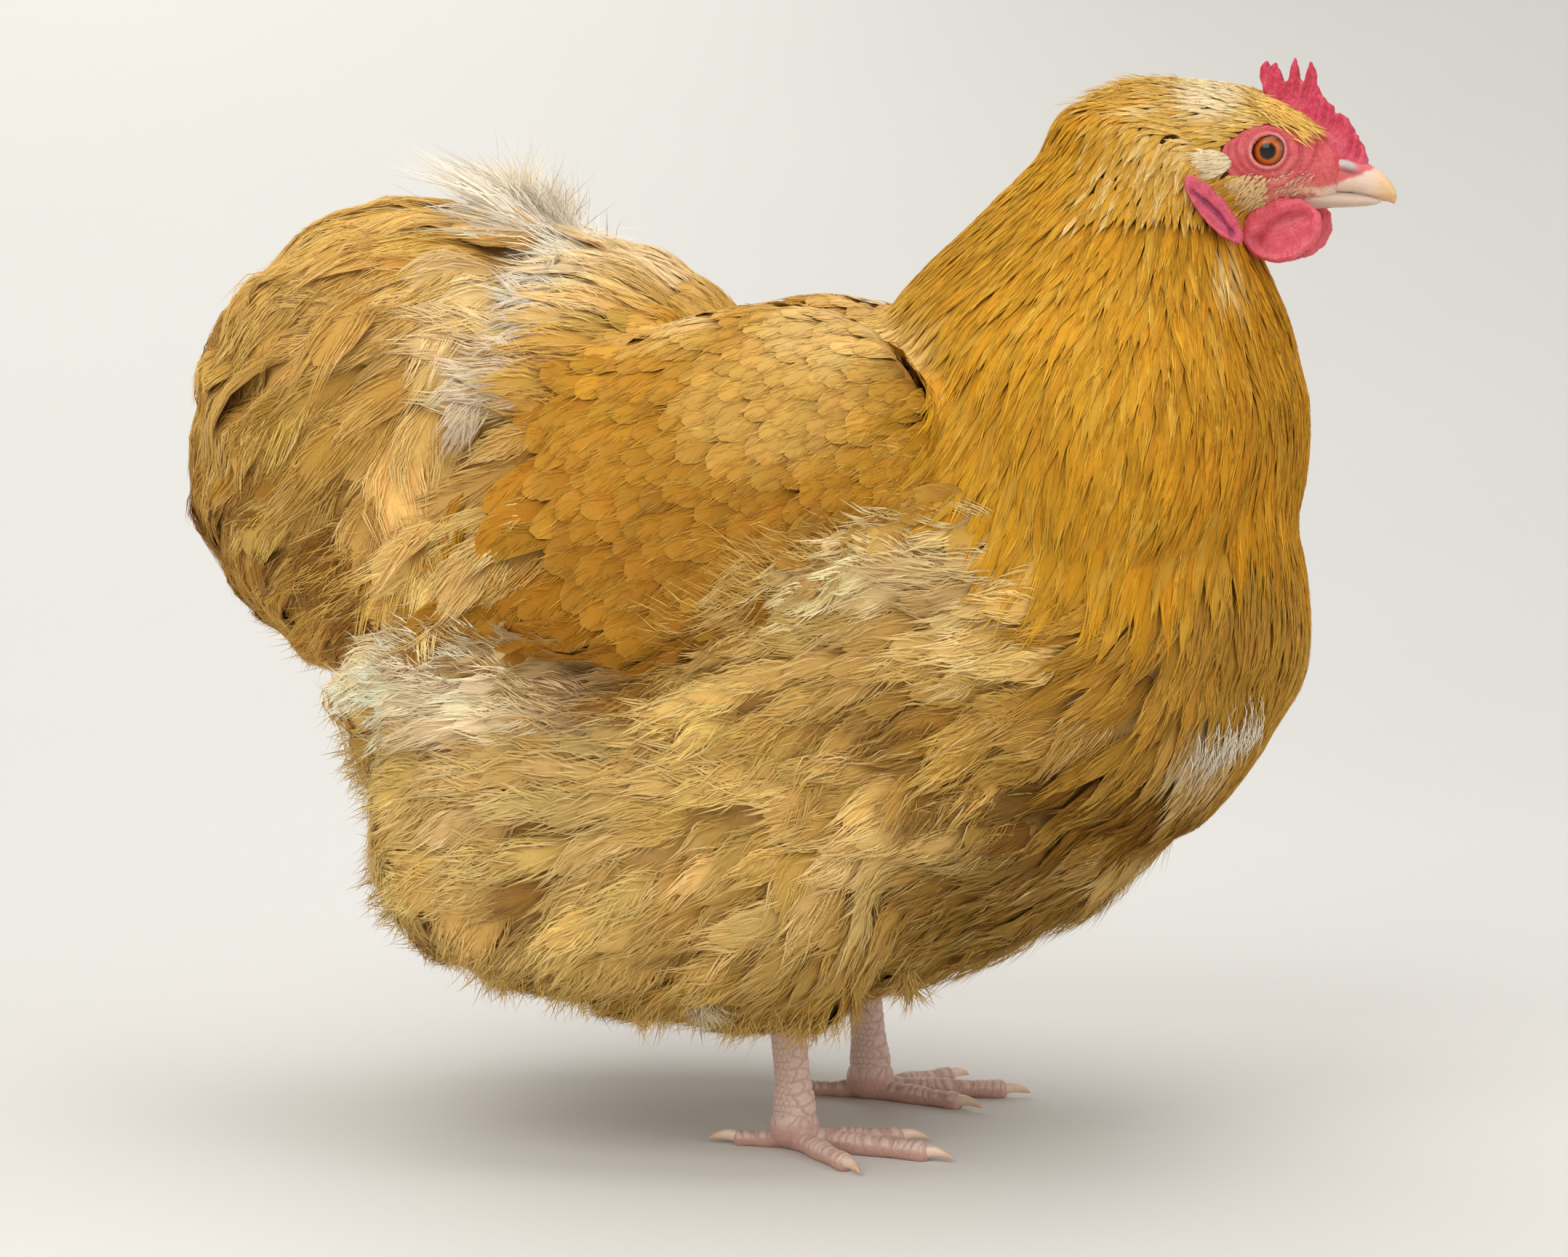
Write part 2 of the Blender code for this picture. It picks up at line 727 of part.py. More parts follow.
def fan_vanes(neighbours, chance):
    """The long tail feathers, in two leaves that close over the middle and open below."""
    vanes = []
    steps = len(BROAD) - 1
    for _, side in SIDES:
        for i, (rise, reach) in enumerate(FAN):
            aside = side * (FAN_ROOT[1] + FAN_STAGGER * (i % 2))
            root = Vector((FAN_ROOT[0], aside, FAN_ROOT[2])) * MM
            up = math.radians(rise + chance.uniform(-FAN_STRAY_DEG, FAN_STRAY_DEG))
            spread = math.radians(np.interp(i, (0, len(FAN) - 1), FAN_SPREAD_DEG))
            ahead = Vector((-math.cos(up), side * math.sin(spread), math.sin(up)))
            line = []
            for k in range(steps + 1):
                share = k / steps
                droop = Vector((0, 0, -FAN_DROOP)) * share**2
                line.append(root + (ahead * share + droop) * reach * MM)
            ups = [Vector((0, side, FAN_FACES_UP))] * len(line)
            vane = blade(line, ups, FAN_WIDTH, BROAD, lambda point, _: point)
            vanes.append(trimmed(vane, neighbours))
    return vanes


def both_sides(angle):
    return [angle] if angle == 0 else [-angle, angle]


def saddle_vanes(form, neighbours, chance):
    vanes = []
    for forward, angles, length, width in SADDLE_TIERS:
        for angle in angles:
            for signed in both_sides(angle):
                turn = math.radians(signed + chance.uniform(-SADDLE_STRAY_DEG, SADDLE_STRAY_DEG))
                axis = Vector((forward, 0, SADDLE_MIDDLE[2])) * MM
                out = Vector((0, math.sin(turn), math.cos(turn)))
                root, _, _, _ = form.ray_cast(axis + out * BEYOND, -out)
                shingle = SHINGLE * chance.uniform(0, 1)
                long = uneven(length, chance)
                vanes.append(
                    lying_vane(
                        form, root, lambda _: TAIL_FLOW, long, width, BROAD, LYING, neighbours, shingle
                    )
                )
    return vanes


def bustle_vanes(outline, cores, neighbours, chance):
    """Broad soft feathers that rise from the core to the bustle's outline."""
    middle = Vector(BUSTLE_MIDDLE) * MM
    vanes = []
    for rise, angles, length, width in BUSTLE_TIERS:
        for angle in angles:
            for signed in both_sides(angle):
                up = math.radians(rise + chance.uniform(-BUSTLE_STRAY_DEG, BUSTLE_STRAY_DEG))
                turn = math.radians(signed + chance.uniform(-SADDLE_STRAY_DEG, SADDLE_STRAY_DEG))
                aside = math.cos(turn)
                out = Vector((-math.cos(up) * aside, math.sin(turn), math.sin(up) * aside))
                root, _, _, _ = outline.ray_cast(middle + out * BEYOND, -out)
                depth = min(height_over(core, root)[0] for core in cores) / MM
                rises = [-depth * share for share in BUSTLE_RISE]
                lifts = (-depth - ROOT_SINK, *rises, BUSTLE_TIP)
                long = uneven(length, chance)
                shingle = SHINGLE * chance.uniform(*BUSTLE_LAYERS)
                vanes.append(
                    lying_vane(
                        outline, root, lambda _: TAIL_FLOW, long, width, BROAD, lifts, neighbours, shingle
                    )
                )
    return vanes


def ear_vanes(form, side, neighbours):
    turn = head_turn()
    vanes = []
    for forward, out, height in EAR_TUFT:
        root = turn @ (Vector((forward, side * out, height)) * MM)
        vanes.append(
            lying_vane(
                form, root, lambda _: (-1, 0, 0), EAR_TUFT_LENGTH, EAR_TUFT_WIDTH, LANCE, LYING, neighbours
            )
        )
    return vanes


def part_body(forms, head, face):
    """Cuts the overlapping forms apart, each by the whole shapes of those that stay whole before it."""
    whole = {name: new_object(name + "_whole", form.data.copy()) for name, form in forms.items()}
    head_whole = new_object("head_whole", head.data.copy())
    thighs = [whole["thigh_right"], whole["thigh_left"]]
    wings = [whole["wing_right"], whole["wing_left"]]
    backs = [whole["saddle"], whole["tail"]]
    lobes = [piece for piece in face if piece.name.startswith("earlobe")]
    make_room(forms["neck"], [head_whole, *lobes])
    for word, _ in SIDES:
        make_room(forms["wing_" + word], [whole["thigh_" + word], whole["neck"], *backs])
    combine(forms["tail"], [forms.pop("saddle")], "UNION")
    make_room(forms["tail"], thighs)
    make_room(forms["torso"], [whole["neck"], *backs, *wings, *thighs])
    whole["head"] = head_whole
    return whole


def feather_body(forms, head, whole):
    """Sets the feathers on the wings, neck, saddle, tail and head, clear of every other node."""
    chance = random.Random(SEED)
    surfaces = {name: surface_of(obj) for name, obj in whole.items()}
    plain = ("torso", "thigh_right", "thigh_left", "head")
    feathered = ("neck", "saddle", "tail", "wing_right", "wing_left")
    bare = {name: beside(whole[name], OVER_BARE) for name in plain}
    under = {name: beside(whole[name], OVER_BARE) for name in feathered[:3]}
    over = {name: beside(whole[name], OVER_FEATHERS) for name in feathered}
    for word, side in SIDES:
        name = "wing_" + word
        room = [bare["thigh_" + word], bare["torso"], *under.values()]
        add_vanes(forms[name], wing_vanes(surfaces[name], side, room, chance))
    wings = [over["wing_right"], over["wing_left"]]
    room = [bare["torso"], bare["head"], over["saddle"], over["tail"], *wings]
    add_vanes(forms["neck"], hackle_vanes(surfaces["neck"], room, chance))
    outline = ellipsoid("bustle", BUSTLE_MIDDLE, BUSTLE_REACH, 24, 16)
    whole["bustle"] = outline
    room = [bare["thigh_right"], bare["thigh_left"], over["neck"], *wings]
    vanes = fan_vanes([bare["torso"]], chance)
    cores = [surfaces["saddle"], surfaces["tail"]]
    vanes += bustle_vanes(surface_of(outline), cores, room, chance)
    vanes += saddle_vanes(surfaces["saddle"], room, chance)
    vanes = [vane and trimmed(vane, [bare["torso"]]) for vane in vanes]
    add_vanes(forms["tail"], vanes)
    ears = [vane for _, side in SIDES for vane in ear_vanes(surfaces["head"], side, [over["neck"]])]
    add_vanes(head, ears)
    cutters = [cutter for _, _, cutter in [*bare.values(), *under.values(), *over.values()]]
    for helper in [*whole.values(), *cutters]:
        bpy.data.objects.remove(helper)


def centre_on_floor(objects):
    """Moves everything so that the origin is under the middle of the box."""
    corners = [vertex.co for obj in objects for vertex in obj.data.vertices]
    middle = [(min(c[i] for c in corners) + max(c[i] for c in corners)) / 2 for i in (0, 1)]
    for obj in objects:
        obj.data.transform(Matrix.Translation((-middle[0], -middle[1], 0)))


def main():
    clear_scene()
    forms = make_body_forms()
    head, face = make_head_group()
    for piece in [head, *face]:
        piece.data.transform(head_turn())
    whole = part_body(forms, head, face)
    feather_body(forms, head, whole)
    painted = {name: "buff_feather" for name in ("torso", "wing_right", "wing_left")}
    painted |= {name: "pale_fluff" for name in ("tail", "thigh_right", "thigh_left")}
    painted |= {"neck": "gold_hackle", "head": "gold_hackle"}
    painted |= {piece.name: "red_skin" for piece in face}
    painted |= {name: "horn" for name in painted if name.startswith("beak")}
    painted |= {name: "eye" for name in painted if name.startswith("eye")}
    for word, _ in SIDES:
        shank, foot, claws = make_leg(word, [forms["thigh_" + word], forms["torso"]])
        painted |= {shank.name: "leg_skin", foot.name: "leg_skin"}
        painted |= {claw.name: "horn" for claw in claws}
    for name, finish in painted.items():
        paint(bpy.data.objects[name], finish)
    centre_on_floor([bpy.data.objects[name] for name in painted])


main()
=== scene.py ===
"""Looks of a buff fluffy-feathered hen: skin, feathers, head, legs and a plain studio.

Tables are in millimetres, in the hen's own frame: forward, left, up. The head's tables are forward of
HEAD_PIVOT, with the head straight. Colours are as they show on a screen, 0 to 255.
"""

import math

import bmesh
import bpy
import numpy as np
from mathutils import Matrix, Vector
from mathutils.bvhtree import BVHTree


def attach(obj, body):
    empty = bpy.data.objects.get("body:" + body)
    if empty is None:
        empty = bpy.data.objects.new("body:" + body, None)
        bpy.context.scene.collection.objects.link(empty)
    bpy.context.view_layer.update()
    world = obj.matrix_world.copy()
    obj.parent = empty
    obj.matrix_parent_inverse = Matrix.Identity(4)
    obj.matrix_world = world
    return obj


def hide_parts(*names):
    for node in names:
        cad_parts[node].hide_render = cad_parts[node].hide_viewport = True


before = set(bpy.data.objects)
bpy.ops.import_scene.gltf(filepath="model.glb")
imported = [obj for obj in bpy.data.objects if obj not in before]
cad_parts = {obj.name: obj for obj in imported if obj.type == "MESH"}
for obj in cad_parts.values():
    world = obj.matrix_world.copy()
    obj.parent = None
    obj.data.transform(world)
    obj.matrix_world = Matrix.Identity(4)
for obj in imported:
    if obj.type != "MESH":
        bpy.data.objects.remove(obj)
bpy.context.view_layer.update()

MM = 0.001
SIDES = (("right", -1), ("left", 1))
chance = np.random.default_rng(11)

# Body forms, as in the solids: forward, height, reach up, reach down, half width. The neck's rings lie
# flat, so its two reaches are back and front.
TORSO = [
    (188, 210, 0, 0, 0),
    (182, 209, 44, 44, 48),
    (160, 206, 78, 66, 75),
    (115, 195, 103, 97, 94),
    (60, 181, 117, 119, 102),
    (0, 170, 128, 126, 105),
    (-60, 165, 126, 116, 102),
    (-115, 154, 104, 86, 92),
    (-145, 142, 62, 52, 66),
    (-156, 138, 0, 0, 0),
]
TORSO_SQUARENESS = 2.35
NECK = [
    (122, 184, 0, 0, 0),
    (121, 195, 44, 42, 62),
    (119, 216, 70, 61, 87),
    (117, 242, 82, 69, 93),
    (115, 272, 82, 70, 83),
    (118, 298, 68, 63, 62),
    (122, 320, 49, 52, 45),
    (128, 343, 34, 37, 33),
    (133, 360, 30, 31, 27),
    (137, 372, 0, 0, 0),
]
THIGH = [
    (-141, 124, 0, 0, 0),
    (-134, 124, 50, 34, 34),
    (-104, 121, 74, 54, 51),
    (-58, 112, 80, 61, 56),
    (-10, 104, 80, 59, 55),
    (36, 100, 64, 49, 44),
    (60, 98, 0, 0, 0),
]
THIGH_OUT = 59
BUSTLE = ((-129, 0, 249), (93, 84, 95))
SADDLE = ((-72, 0, 260), (66, 84, 60))
WING = ((-16, 84, 240), (82, 20, 58))
WING_SLOPE_DEG = 28
WING_TOE_IN_DEG = 5
WING_LEAN_DEG = 22

HEAD_PIVOT = (140, 0, 0)
HEAD_TURN_DEG = 10
HEAD = [
    (-36, 348, 0, 0, 0),
    (-30, 349, 19, 20, 19),
    (-12, 354, 26, 28, 25),
    (8, 355, 24.5, 29, 24.5),
    (25, 354, 23, 25, 21.5),
    (39, 352, 18, 19, 17.5),
    (50, 349.5, 12.5, 13.5, 12.5),
    (59, 347.5, 7, 9, 8),
    (63, 347, 0, 0, 0),
]
BEAK_UPPER = [
    (44, 345.5, 0, 0, 0),
    (48, 345.5, 8, 3.8, 8.4),
    (57, 346.3, 7.6, 5, 7.2),
    (66, 346.2, 6.2, 5, 5.4),
    (73, 344, 4.4, 4.4, 3.4),
    (78, 340, 2.3, 3, 1.5),
    (79.4, 337, 0, 0, 0),
]
BEAK_LOWER = [
    (42, 339.6, 0, 0, 0),
    (46, 339.4, 3.4, 4.2, 7.2),
    (55, 339, 3, 3.4, 5.8),
    (65, 338.6, 2.4, 2.6, 3.9),
    (72, 338.2, 1.3, 1.5, 2),
    (75, 338, 0, 0, 0),
]
EYE_PLACE = (37.5, 12.2, 355.5)
EYE_RADIUS = 7.4
COMB = [
    (69.6, 348.8), (69.6, 353), (68.5, 356.5), (65.6, 361.5), (63.8, 364.2), (62.3, 367.2), (60.2, 368.6),
    (58.6, 368.6), (57, 371.2), (54.2, 374.2), (52.8, 375.2), (51.5, 379.2), (50.4, 384), (49, 387.6),
    (47.8, 384), (46.9, 379.2), (45.8, 380), (44.8, 384.6), (43.6, 388.4), (42.2, 385.4), (41.4, 380.4),
    (39.8, 379.8), (38.6, 383.2), (36.9, 386.6), (35, 385.2), (33.4, 387.2), (31.6, 385.6), (31.2, 381),
    (32.8, 376.4), (36, 371), (40, 364), (46, 357), (56, 350),
]
COMB_HALF_THICK = 1.6
COMB_VOXEL = 0.4
COMB_ROUNDS = 5
WATTLE_PLACE = (41.5, 10.5, 328)
WATTLE_REACH = (14.4, 3, 11)
WATTLE_SLOPE_DEG = -16
WATTLE_CUP = 1.6
EARLOBE_PLACE = (21, 28.6, 335.2)
EARLOBE_REACH = (14.6, 3, 4.5)
EARLOBE_SLOPE_DEG = 52
EARLOBE_CUP = 1.6
EARLOBE_YAW = 0.4

SHANK = [
    (0, 8, 0, 0, 0),
    (0, 12, 7.36, 7.36, 6.4),
    (-1, 26, 6.4, 6.4, 5.76),
    (-3, 46, 6.4, 6.72, 6.08),
    (-5, 64, 8.32, 8.32, 7.68),
    (-6, 76, 0, 0, 0),
]
FOOT = {"right": (10, -43, -16), "left": (27, 43, 8)}
FOOT_BALL = ((0, 0, 7.5), (9, 8.5, 8.2))
TOES = [
    ("middle", 0, 50, 4.6),
    ("inner", 32, 38, 4.3),
    ("outer", -40, 40, 4.3),
    ("hind", 168, 21, 3.8),
]
TOE_SUNK = 0.7
TOE_END = 2
TOE_TAPER = 0.22
TOE_WAIST = 0.86
KNUCKLES = 2
CLAW = [
    (0, 3.3, 0, 0, 0),
    (0.6, 3.3, 2.1, 2.1, 1.89),
    (4.4, 3.6, 1.785, 1.785, 1.47),
    (8.8, 2.6, 1.05, 1.05, 0.84),
    (11, 1.5, 0, 0, 0),
]
SCUTE_STEP = 3.1
SCUTE_HEIGHT = 0.42
FOOT_VOXEL = 0.55
FOOT_ROUNDS = 3

# How far each form of the coat stands out past the solid's, how far under the coat the skin lies, on the
# body and on the head, how far painted shade darkens the skin beside the feathers, and what share of its
# faces it keeps
COAT_OUT = {"torso": 0, "neck": 3, "thigh": 0, "wing": 3, "saddle": 3, "bustle": 0, "head": 1}
SKIN_DEPTH = 3.4
FACE_DEPTH = 7
SKIN_SHADE = 0.72
SKIN_KEPT = 0.38
# How fine the coat's shape is, how often it is softened, and how many places are tried for feathers
GUIDE_VOXEL = 2.5
GUIDE_ROUNDS = 12
MOST_TRIES = 170000

# Colours that the coat and skin have, by place, with the colours of painted shade and light among them
GOLD = (196, 134, 36)
HACKLE_GOLD = (196, 137, 27)
HACKLE_STREAK = (206, 160, 62)
HACKLE_DARK = (172, 108, 18)
WING_GOLD = (172, 116, 24)
# A deeper gold: partly the wing's own colour, partly painted shade in its crease and along its lower edge
WING_DEEP_AND_SHADE = (142, 86, 16)
WING_EDGE = (206, 162, 78)
BREAST = (186, 136, 48)
# Painted shade on the lower breast
BREAST_SHADE = (112, 74, 18)
# Painted shade in the creases between the lobes
CREASE_SHADE = (118, 74, 22)
FLUFF = (226, 186, 104)
FLUFF_PALE = (240, 213, 158)
# Pale fluff, partly its own colour and partly painted light on the thigh's lit top
FLUFF_PALE_AND_LIT = (252, 236, 200)
# Painted shade on the low fluff and in its creases
FLUFF_SHADE = (158, 112, 32)
BUSTLE_BUFF = (218, 172, 84)
BUSTLE_PALE = (234, 204, 148)
BUSTLE_BROWN = (156, 103, 32)
BUSTLE_GOLD = (208, 150, 62)
BUSTLE_LIGHT = (230, 190, 112)
WHITE_DOWN = (237, 224, 200)
PINK_CREAM = (232, 206, 170)
BACK_PALE = (224, 190, 124)
SADDLE_PALE = (232, 202, 146)
CROWN_GOLD = (204, 158, 68)
BROW_GOLD = (232, 186, 96)
CREAM = (236, 214, 174)
CHEEK_BUFF = (236, 200, 144)
SKIN_BUFF = (176, 128, 54)
FACE_RED = (205, 72, 78)
FACE_PALE = (226, 132, 124)
LID_PALE = (226, 156, 142)
CHEEK_PINK = (222, 142, 120)
COMB_RED = (200, 44, 74)
COMB_PALE = (226, 104, 122)
WATTLE_PINK = (222, 84, 98)
# Painted shade for the red flesh's grooves, folds and valleys
FLESH_SHADE = (150, 30, 46)
LOBE_RED = (204, 78, 100)
LOBE_PURPLE = (138, 44, 82)
HORN_PINK = (232, 204, 184)
HORN_TIP = (222, 182, 128)
HORN_EDGE = (196, 150, 104)
NOSTRIL_GREY = (186, 174, 168)
# Painted shadow in the nostril's slit
NOSTRIL_SHADOW = (96, 62, 56)
LEG_PINK = (220, 192, 178)
LEG_GROOVE = (190, 146, 134)
PAD_PINK = (206, 160, 144)
FLOOR_GREY = (214, 211, 205)
AIR_BLUE = (0.93, 0.96, 1.0, 1)
EYE_AMBER = (150, 80, 20)

# Lobes that the soft feathers lie in, on the right side: kind of feather, root, tip, half width, how high
# it stands, how far its feathers bend downwards along it, its colour and how much of that. The left side
# mirrors them, and a lobe whose root is on the middle line is there once.
LOBES = [
    ("bustle", (-152, -45, 328), (-196, -47, 308), 19, 5, 40, BUSTLE_BROWN, 0.85),
    ("bustle", (-98, -30, 334), (-162, -42, 336), 11, 4, 20, BUSTLE_BUFF, 0.5),
    ("bustle", (-130, -52, 324), (-178, -56, 300), 15, 6, 40, BUSTLE_BUFF, 0.6),
    ("bustle", (-92, -50, 317), (-141, -61, 313), 11, 5, 25, BUSTLE_GOLD, 0.6),
    ("bustle", (-68, -24, 324), (-104, -60, 304), 17, 4, 20, BUSTLE_PALE, 0.8),
    ("bustle", (-88, -70, 294), (-213, -38, 276), 24, 5, 50, BUSTLE_BUFF, 0.5),
    ("bustle", (-100, -79, 269), (-206, -48, 248), 20, 4, 30, BUSTLE_BROWN, 0.6),
    ("bustle", (-84, -77, 290), (-128, -84, 245), 19, 7, 60, BUSTLE_LIGHT, 0.8),
    ("bustle", (-77, -85, 269), (-108, -86, 214), 18, 8, 30, BUSTLE_LIGHT, 0.8),
    ("bustle", (-72, -88, 257), (-83, -98, 217), 14, 10, 10, BUSTLE_LIGHT, 0.8),
    ("bustle", (-72, -88, 257), (-61, -104, 226), 11, 9, 0, BUSTLE_PALE, 0.7),
    ("bustle", (-123, -83, 239), (-190, -58, 218), 15, 5, 30, BUSTLE_BROWN, 0.8),
    ("bustle", (-118, -81, 227), (-185, -50, 196), 16, 6, 60, BUSTLE_BUFF, 0.5),
    ("bustle", (-104, -88, 207), (-174, -36, 170), 17, 5, 60, BUSTLE_BROWN, 0.5),
    ("bustle", (-98, -83, 236), (-119, -88, 198), 11, 6, 30, BUSTLE_BROWN, 0.6),
    ("thigh", (-16, -105, 160), (-140, -80, 172), 22, 6, 35, FLUFF_PALE_AND_LIT, 0.8),
    ("thigh", (9, -107, 137), (-142, -92, 134), 22, 5, 40, FLUFF_PALE, 0.45),
    ("thigh", (-20, -112, 118), (-132, -92, 94), 19, 4, 35, FLUFF, 0.3),
    ("thigh", (39, -104, 118), (-60, -111, 84), 22, 4, 35, FLUFF, 0.3),
    ("thigh", (62, -92, 114), (-22, -98, 56), 22, 5, 35, FLUFF, 0.3),
    ("thigh", (0, -110, 88), (-16, -100, 60), 4, 3, 20, CREAM, 0.6),
    ("thigh", (88, -86, 114), (18, -84, 46), 21, 4, 30, FLUFF_SHADE, 0.3),
    ("thigh", (56, -66, 72), (50, -70, 46), 8, 4, 0, FLUFF, 0.3),
    ("flank", (116, -93, 212), (14, -110, 219), 19, 6, 10, FLUFF_PALE, 0.55),
    ("flank", (91, -99, 190), (-27, -106, 178), 24, 6, 20, FLUFF, 0.4),
    ("flank", (84, -100, 179), (14, -104, 152), 17, 6, 30, FLUFF, 0.3),
    ("flank", (146, -82, 178), (62, -97, 142), 24, 5, 15, BREAST, 0.6),
    ("bustle", (-186, 0, 322), (-219, 0, 262), 26, 4, 0, BUSTLE_BUFF, 0.4),
    ("bustle", (-214, -34, 262), (-208, -26, 214), 24, 4, 0, BUSTLE_BROWN, 0.4),
    ("bustle", (-208, 0, 240), (-188, 0, 182), 24, 4, 0, BUSTLE_BUFF, 0.3),
    ("thigh", (-166, -44, 168), (-154, -52, 112), 26, 4, 0, FLUFF_PALE, 0.3),
    ("thigh", (-160, 0, 152), (-152, 0, 96), 28, 4, 0, FLUFF, 0.3),
    ("thigh", (-152, -42, 112), (-120, -52, 56), 26, 4, 0, FLUFF, 0.3),
    ("thigh", (-148, 0, 100), (-112, 0, 48), 28, 4, 0, FLUFF_SHADE, 0.3),
]
# Loose wisps on the right side: the line of their roots, how many, how far they stray from it, which way
# they head, their lengths, width, colour, rise and sway. The left mirrors them.
WISPS = [
    ([(-142, -76, 156), (-132, -82, 174), (-110, -88, 184), (-88, -92, 184)],
     420, 4, (-0.8, 0, 0.5), (6, 13), 0.3, FLUFF_PALE_AND_LIT, 2, 0.14),
    ([(-26, -104, 172), (-20, -106, 190), (2, -108, 201), (12, -108, 216), (40, -106, 226)],
     620, 4, (-0.88, 0, 0.4), (6, 16), 0.28, FLUFF, 2, 0.14),
    ([(-20, -106, 186), (4, -108, 203), (14, -108, 218)],
     200, 4, (-0.88, 0, 0.45), (12, 24), 0.26, WING_EDGE, 3, 0.14),
    ([(-106, -10, 336), (-90, -12, 340), (-70, -8, 334)],
     420, 5, (-0.4, 0, 1), (14, 32), 0.26, WHITE_DOWN, 4, 0.22),
    ([(-92, -4, 340), (-72, -4, 336)],
     240, 5, (0.1, 0, 1), (10, 26), 0.26, WHITE_DOWN, 4, 0.28),
    ([(-92, -24, 334), (-80, -28, 330), (-68, -30, 322)],
     120, 4, (-1, 0, 0.16), (36, 62), 0.6, WHITE_DOWN, 7, 0.05),
    ([(-120, -80, 226), (-150, -70, 204), (-168, -40, 176)],
     300, 8, (-0.8, 0, -0.5), (8, 18), 0.3, BUSTLE_BUFF, 3, 0.2),
    ([(-20, -96, 62), (-12, -98, 58)],
     130, 2.5, (0.1, 0, -1), (8, 16), 0.42, CREAM, 3, 0.2),
    ([(50, -66, 52), (58, -62, 50)],
     150, 4, (0.2, 0, -1), (8, 18), 0.42, FLUFF, 4, 0.35),
    ([(-110, -90, 60), (-60, -96, 48), (0, -92, 46), (40, -78, 50)],
     560, 6, (-0.35, 0, -1), (7, 16), 0.34, FLUFF, 4, 0.3),
    ([(-148, -60, 150), (-146, -66, 110), (-130, -72, 76)],
     340, 6, (-0.9, 0, -0.5), (7, 16), 0.34, FLUFF, 4, 0.25),
    ([(168, -46, 162), (152, -64, 154)],
     240, 4, (-0.3, 0, -1), (7, 13), 0.34, WHITE_DOWN, 2, 0.25),
    ([(112, -4, 374), (124, -8, 378), (134, -6, 380)],
     70, 4, (-0.9, 0, 0.05), (6, 12), 0.4, CROWN_GOLD, 2, 0.2),
]
# Lobes: how high their roots are as a share, how deep the fluff between them is sunk, how far their
# feathers fan out, how wide their edges are, how much of the table's height they have, how near a place
# has to be, and their light at the root and at the tip
LOBE_ROOT_HEIGHT = 0.1
LOBE_SUNK = 3.5
LOBE_FAN = 0.5
LOBE_EDGE = 11
LOBE_RELIEF = 0.7
LOBE_NEAR = 45
LOBE_DARK = 0.82
LOBE_BRIGHT = 1.07
# Soft lumps all over the fluff: how wide, how high, and how much painted light their tops get and painted
# shade their hollows
LUMP_WIDE = 27
LUMP_HIGH = 2.4
LUMP_SHADING = 0.12
# The deepest that a crease, a lobe's edge and a lump sink the coat together
LEAST_RELIEF = -6
# Darker feathers are warmer: how strongly a shade acts on red, green and blue
SHADE_WARMTH = np.array((0.8, 1.05, 1.5))
# The fluff stands over the wing below this line: forward and height
WING_LOW_EDGE = [
    (-114, 188), (-75, 180), (-45, 172), (-24, 167), (-10, 185), (10, 201), (25, 217), (40, 226),
]
# Creases on both sides between the lobes: forward and height along each, half width, depth, the colour of
# the painted shade in the crease and how much of that
CREASES = [
    ([(-114, 188), (-75, 181), (-45, 173), (-24, 167)], 7, 3, CREASE_SHADE, 0.65),
    ([(-24, 168), (-10, 187), (10, 203), (25, 220), (40, 228)], 6, 2, WING_DEEP_AND_SHADE, 0.55),
    ([(60, 169), (72, 149), (100, 127), (122, 117)], 7, 4.5, CREASE_SHADE, 0.7),
    ([(132, 173), (147, 175), (163, 171), (179, 170)], 4, 2, CREASE_SHADE, 0.4),
    ([(-122, 200), (-106, 203), (-90, 196)], 6, 4, CREASE_SHADE, 0.6),
    ([(-184, 300), (-170, 296), (-148, 306)], 5, 3, CREASE_SHADE, 0.5),
    ([(-201, 252), (-183, 237), (-158, 229), (-136, 224)], 6, 4, CREASE_SHADE, 0.6),
    ([(22, 162), (32, 152), (46, 150), (60, 160), (64, 174)], 4, 2, FLUFF_SHADE, 0.4),
    ([(-58, 112), (-62, 94), (-58, 79)], 5, 4, CREASE_SHADE, 0.5),
    ([(-7, 96), (-12, 77)], 4, 3, FLUFF_SHADE, 0.5),
    ([(-106, 150), (-66, 142), (-34, 148)], 6, 2, FLUFF_SHADE, 0.3),
    ([(-120, 118), (-84, 122), (-52, 128)], 6, 2.5, FLUFF_SHADE, 0.3),
    ([(-10, 132), (24, 126), (44, 134)], 5, 2, FLUFF_SHADE, 0.3),
]

# The studio's floor is flat to here, then curves up, in metres
COVE_START = 1.0
COVE_OUT = 2.2
COVE_UP = 2.6
COVE_STEPS = 24
COVE_SIDES = 128

# The camera stands here round the hen, in degrees and millimetres, and looks at its middle
CAMERA_ROUND = (8, 6)
CAMERA_AWAY = 1500
CAMERA_HEIGHT = 182.8
MM_A_PIXEL = 0.2657
PHOTO_WIDE = 2156
SENSOR = 36

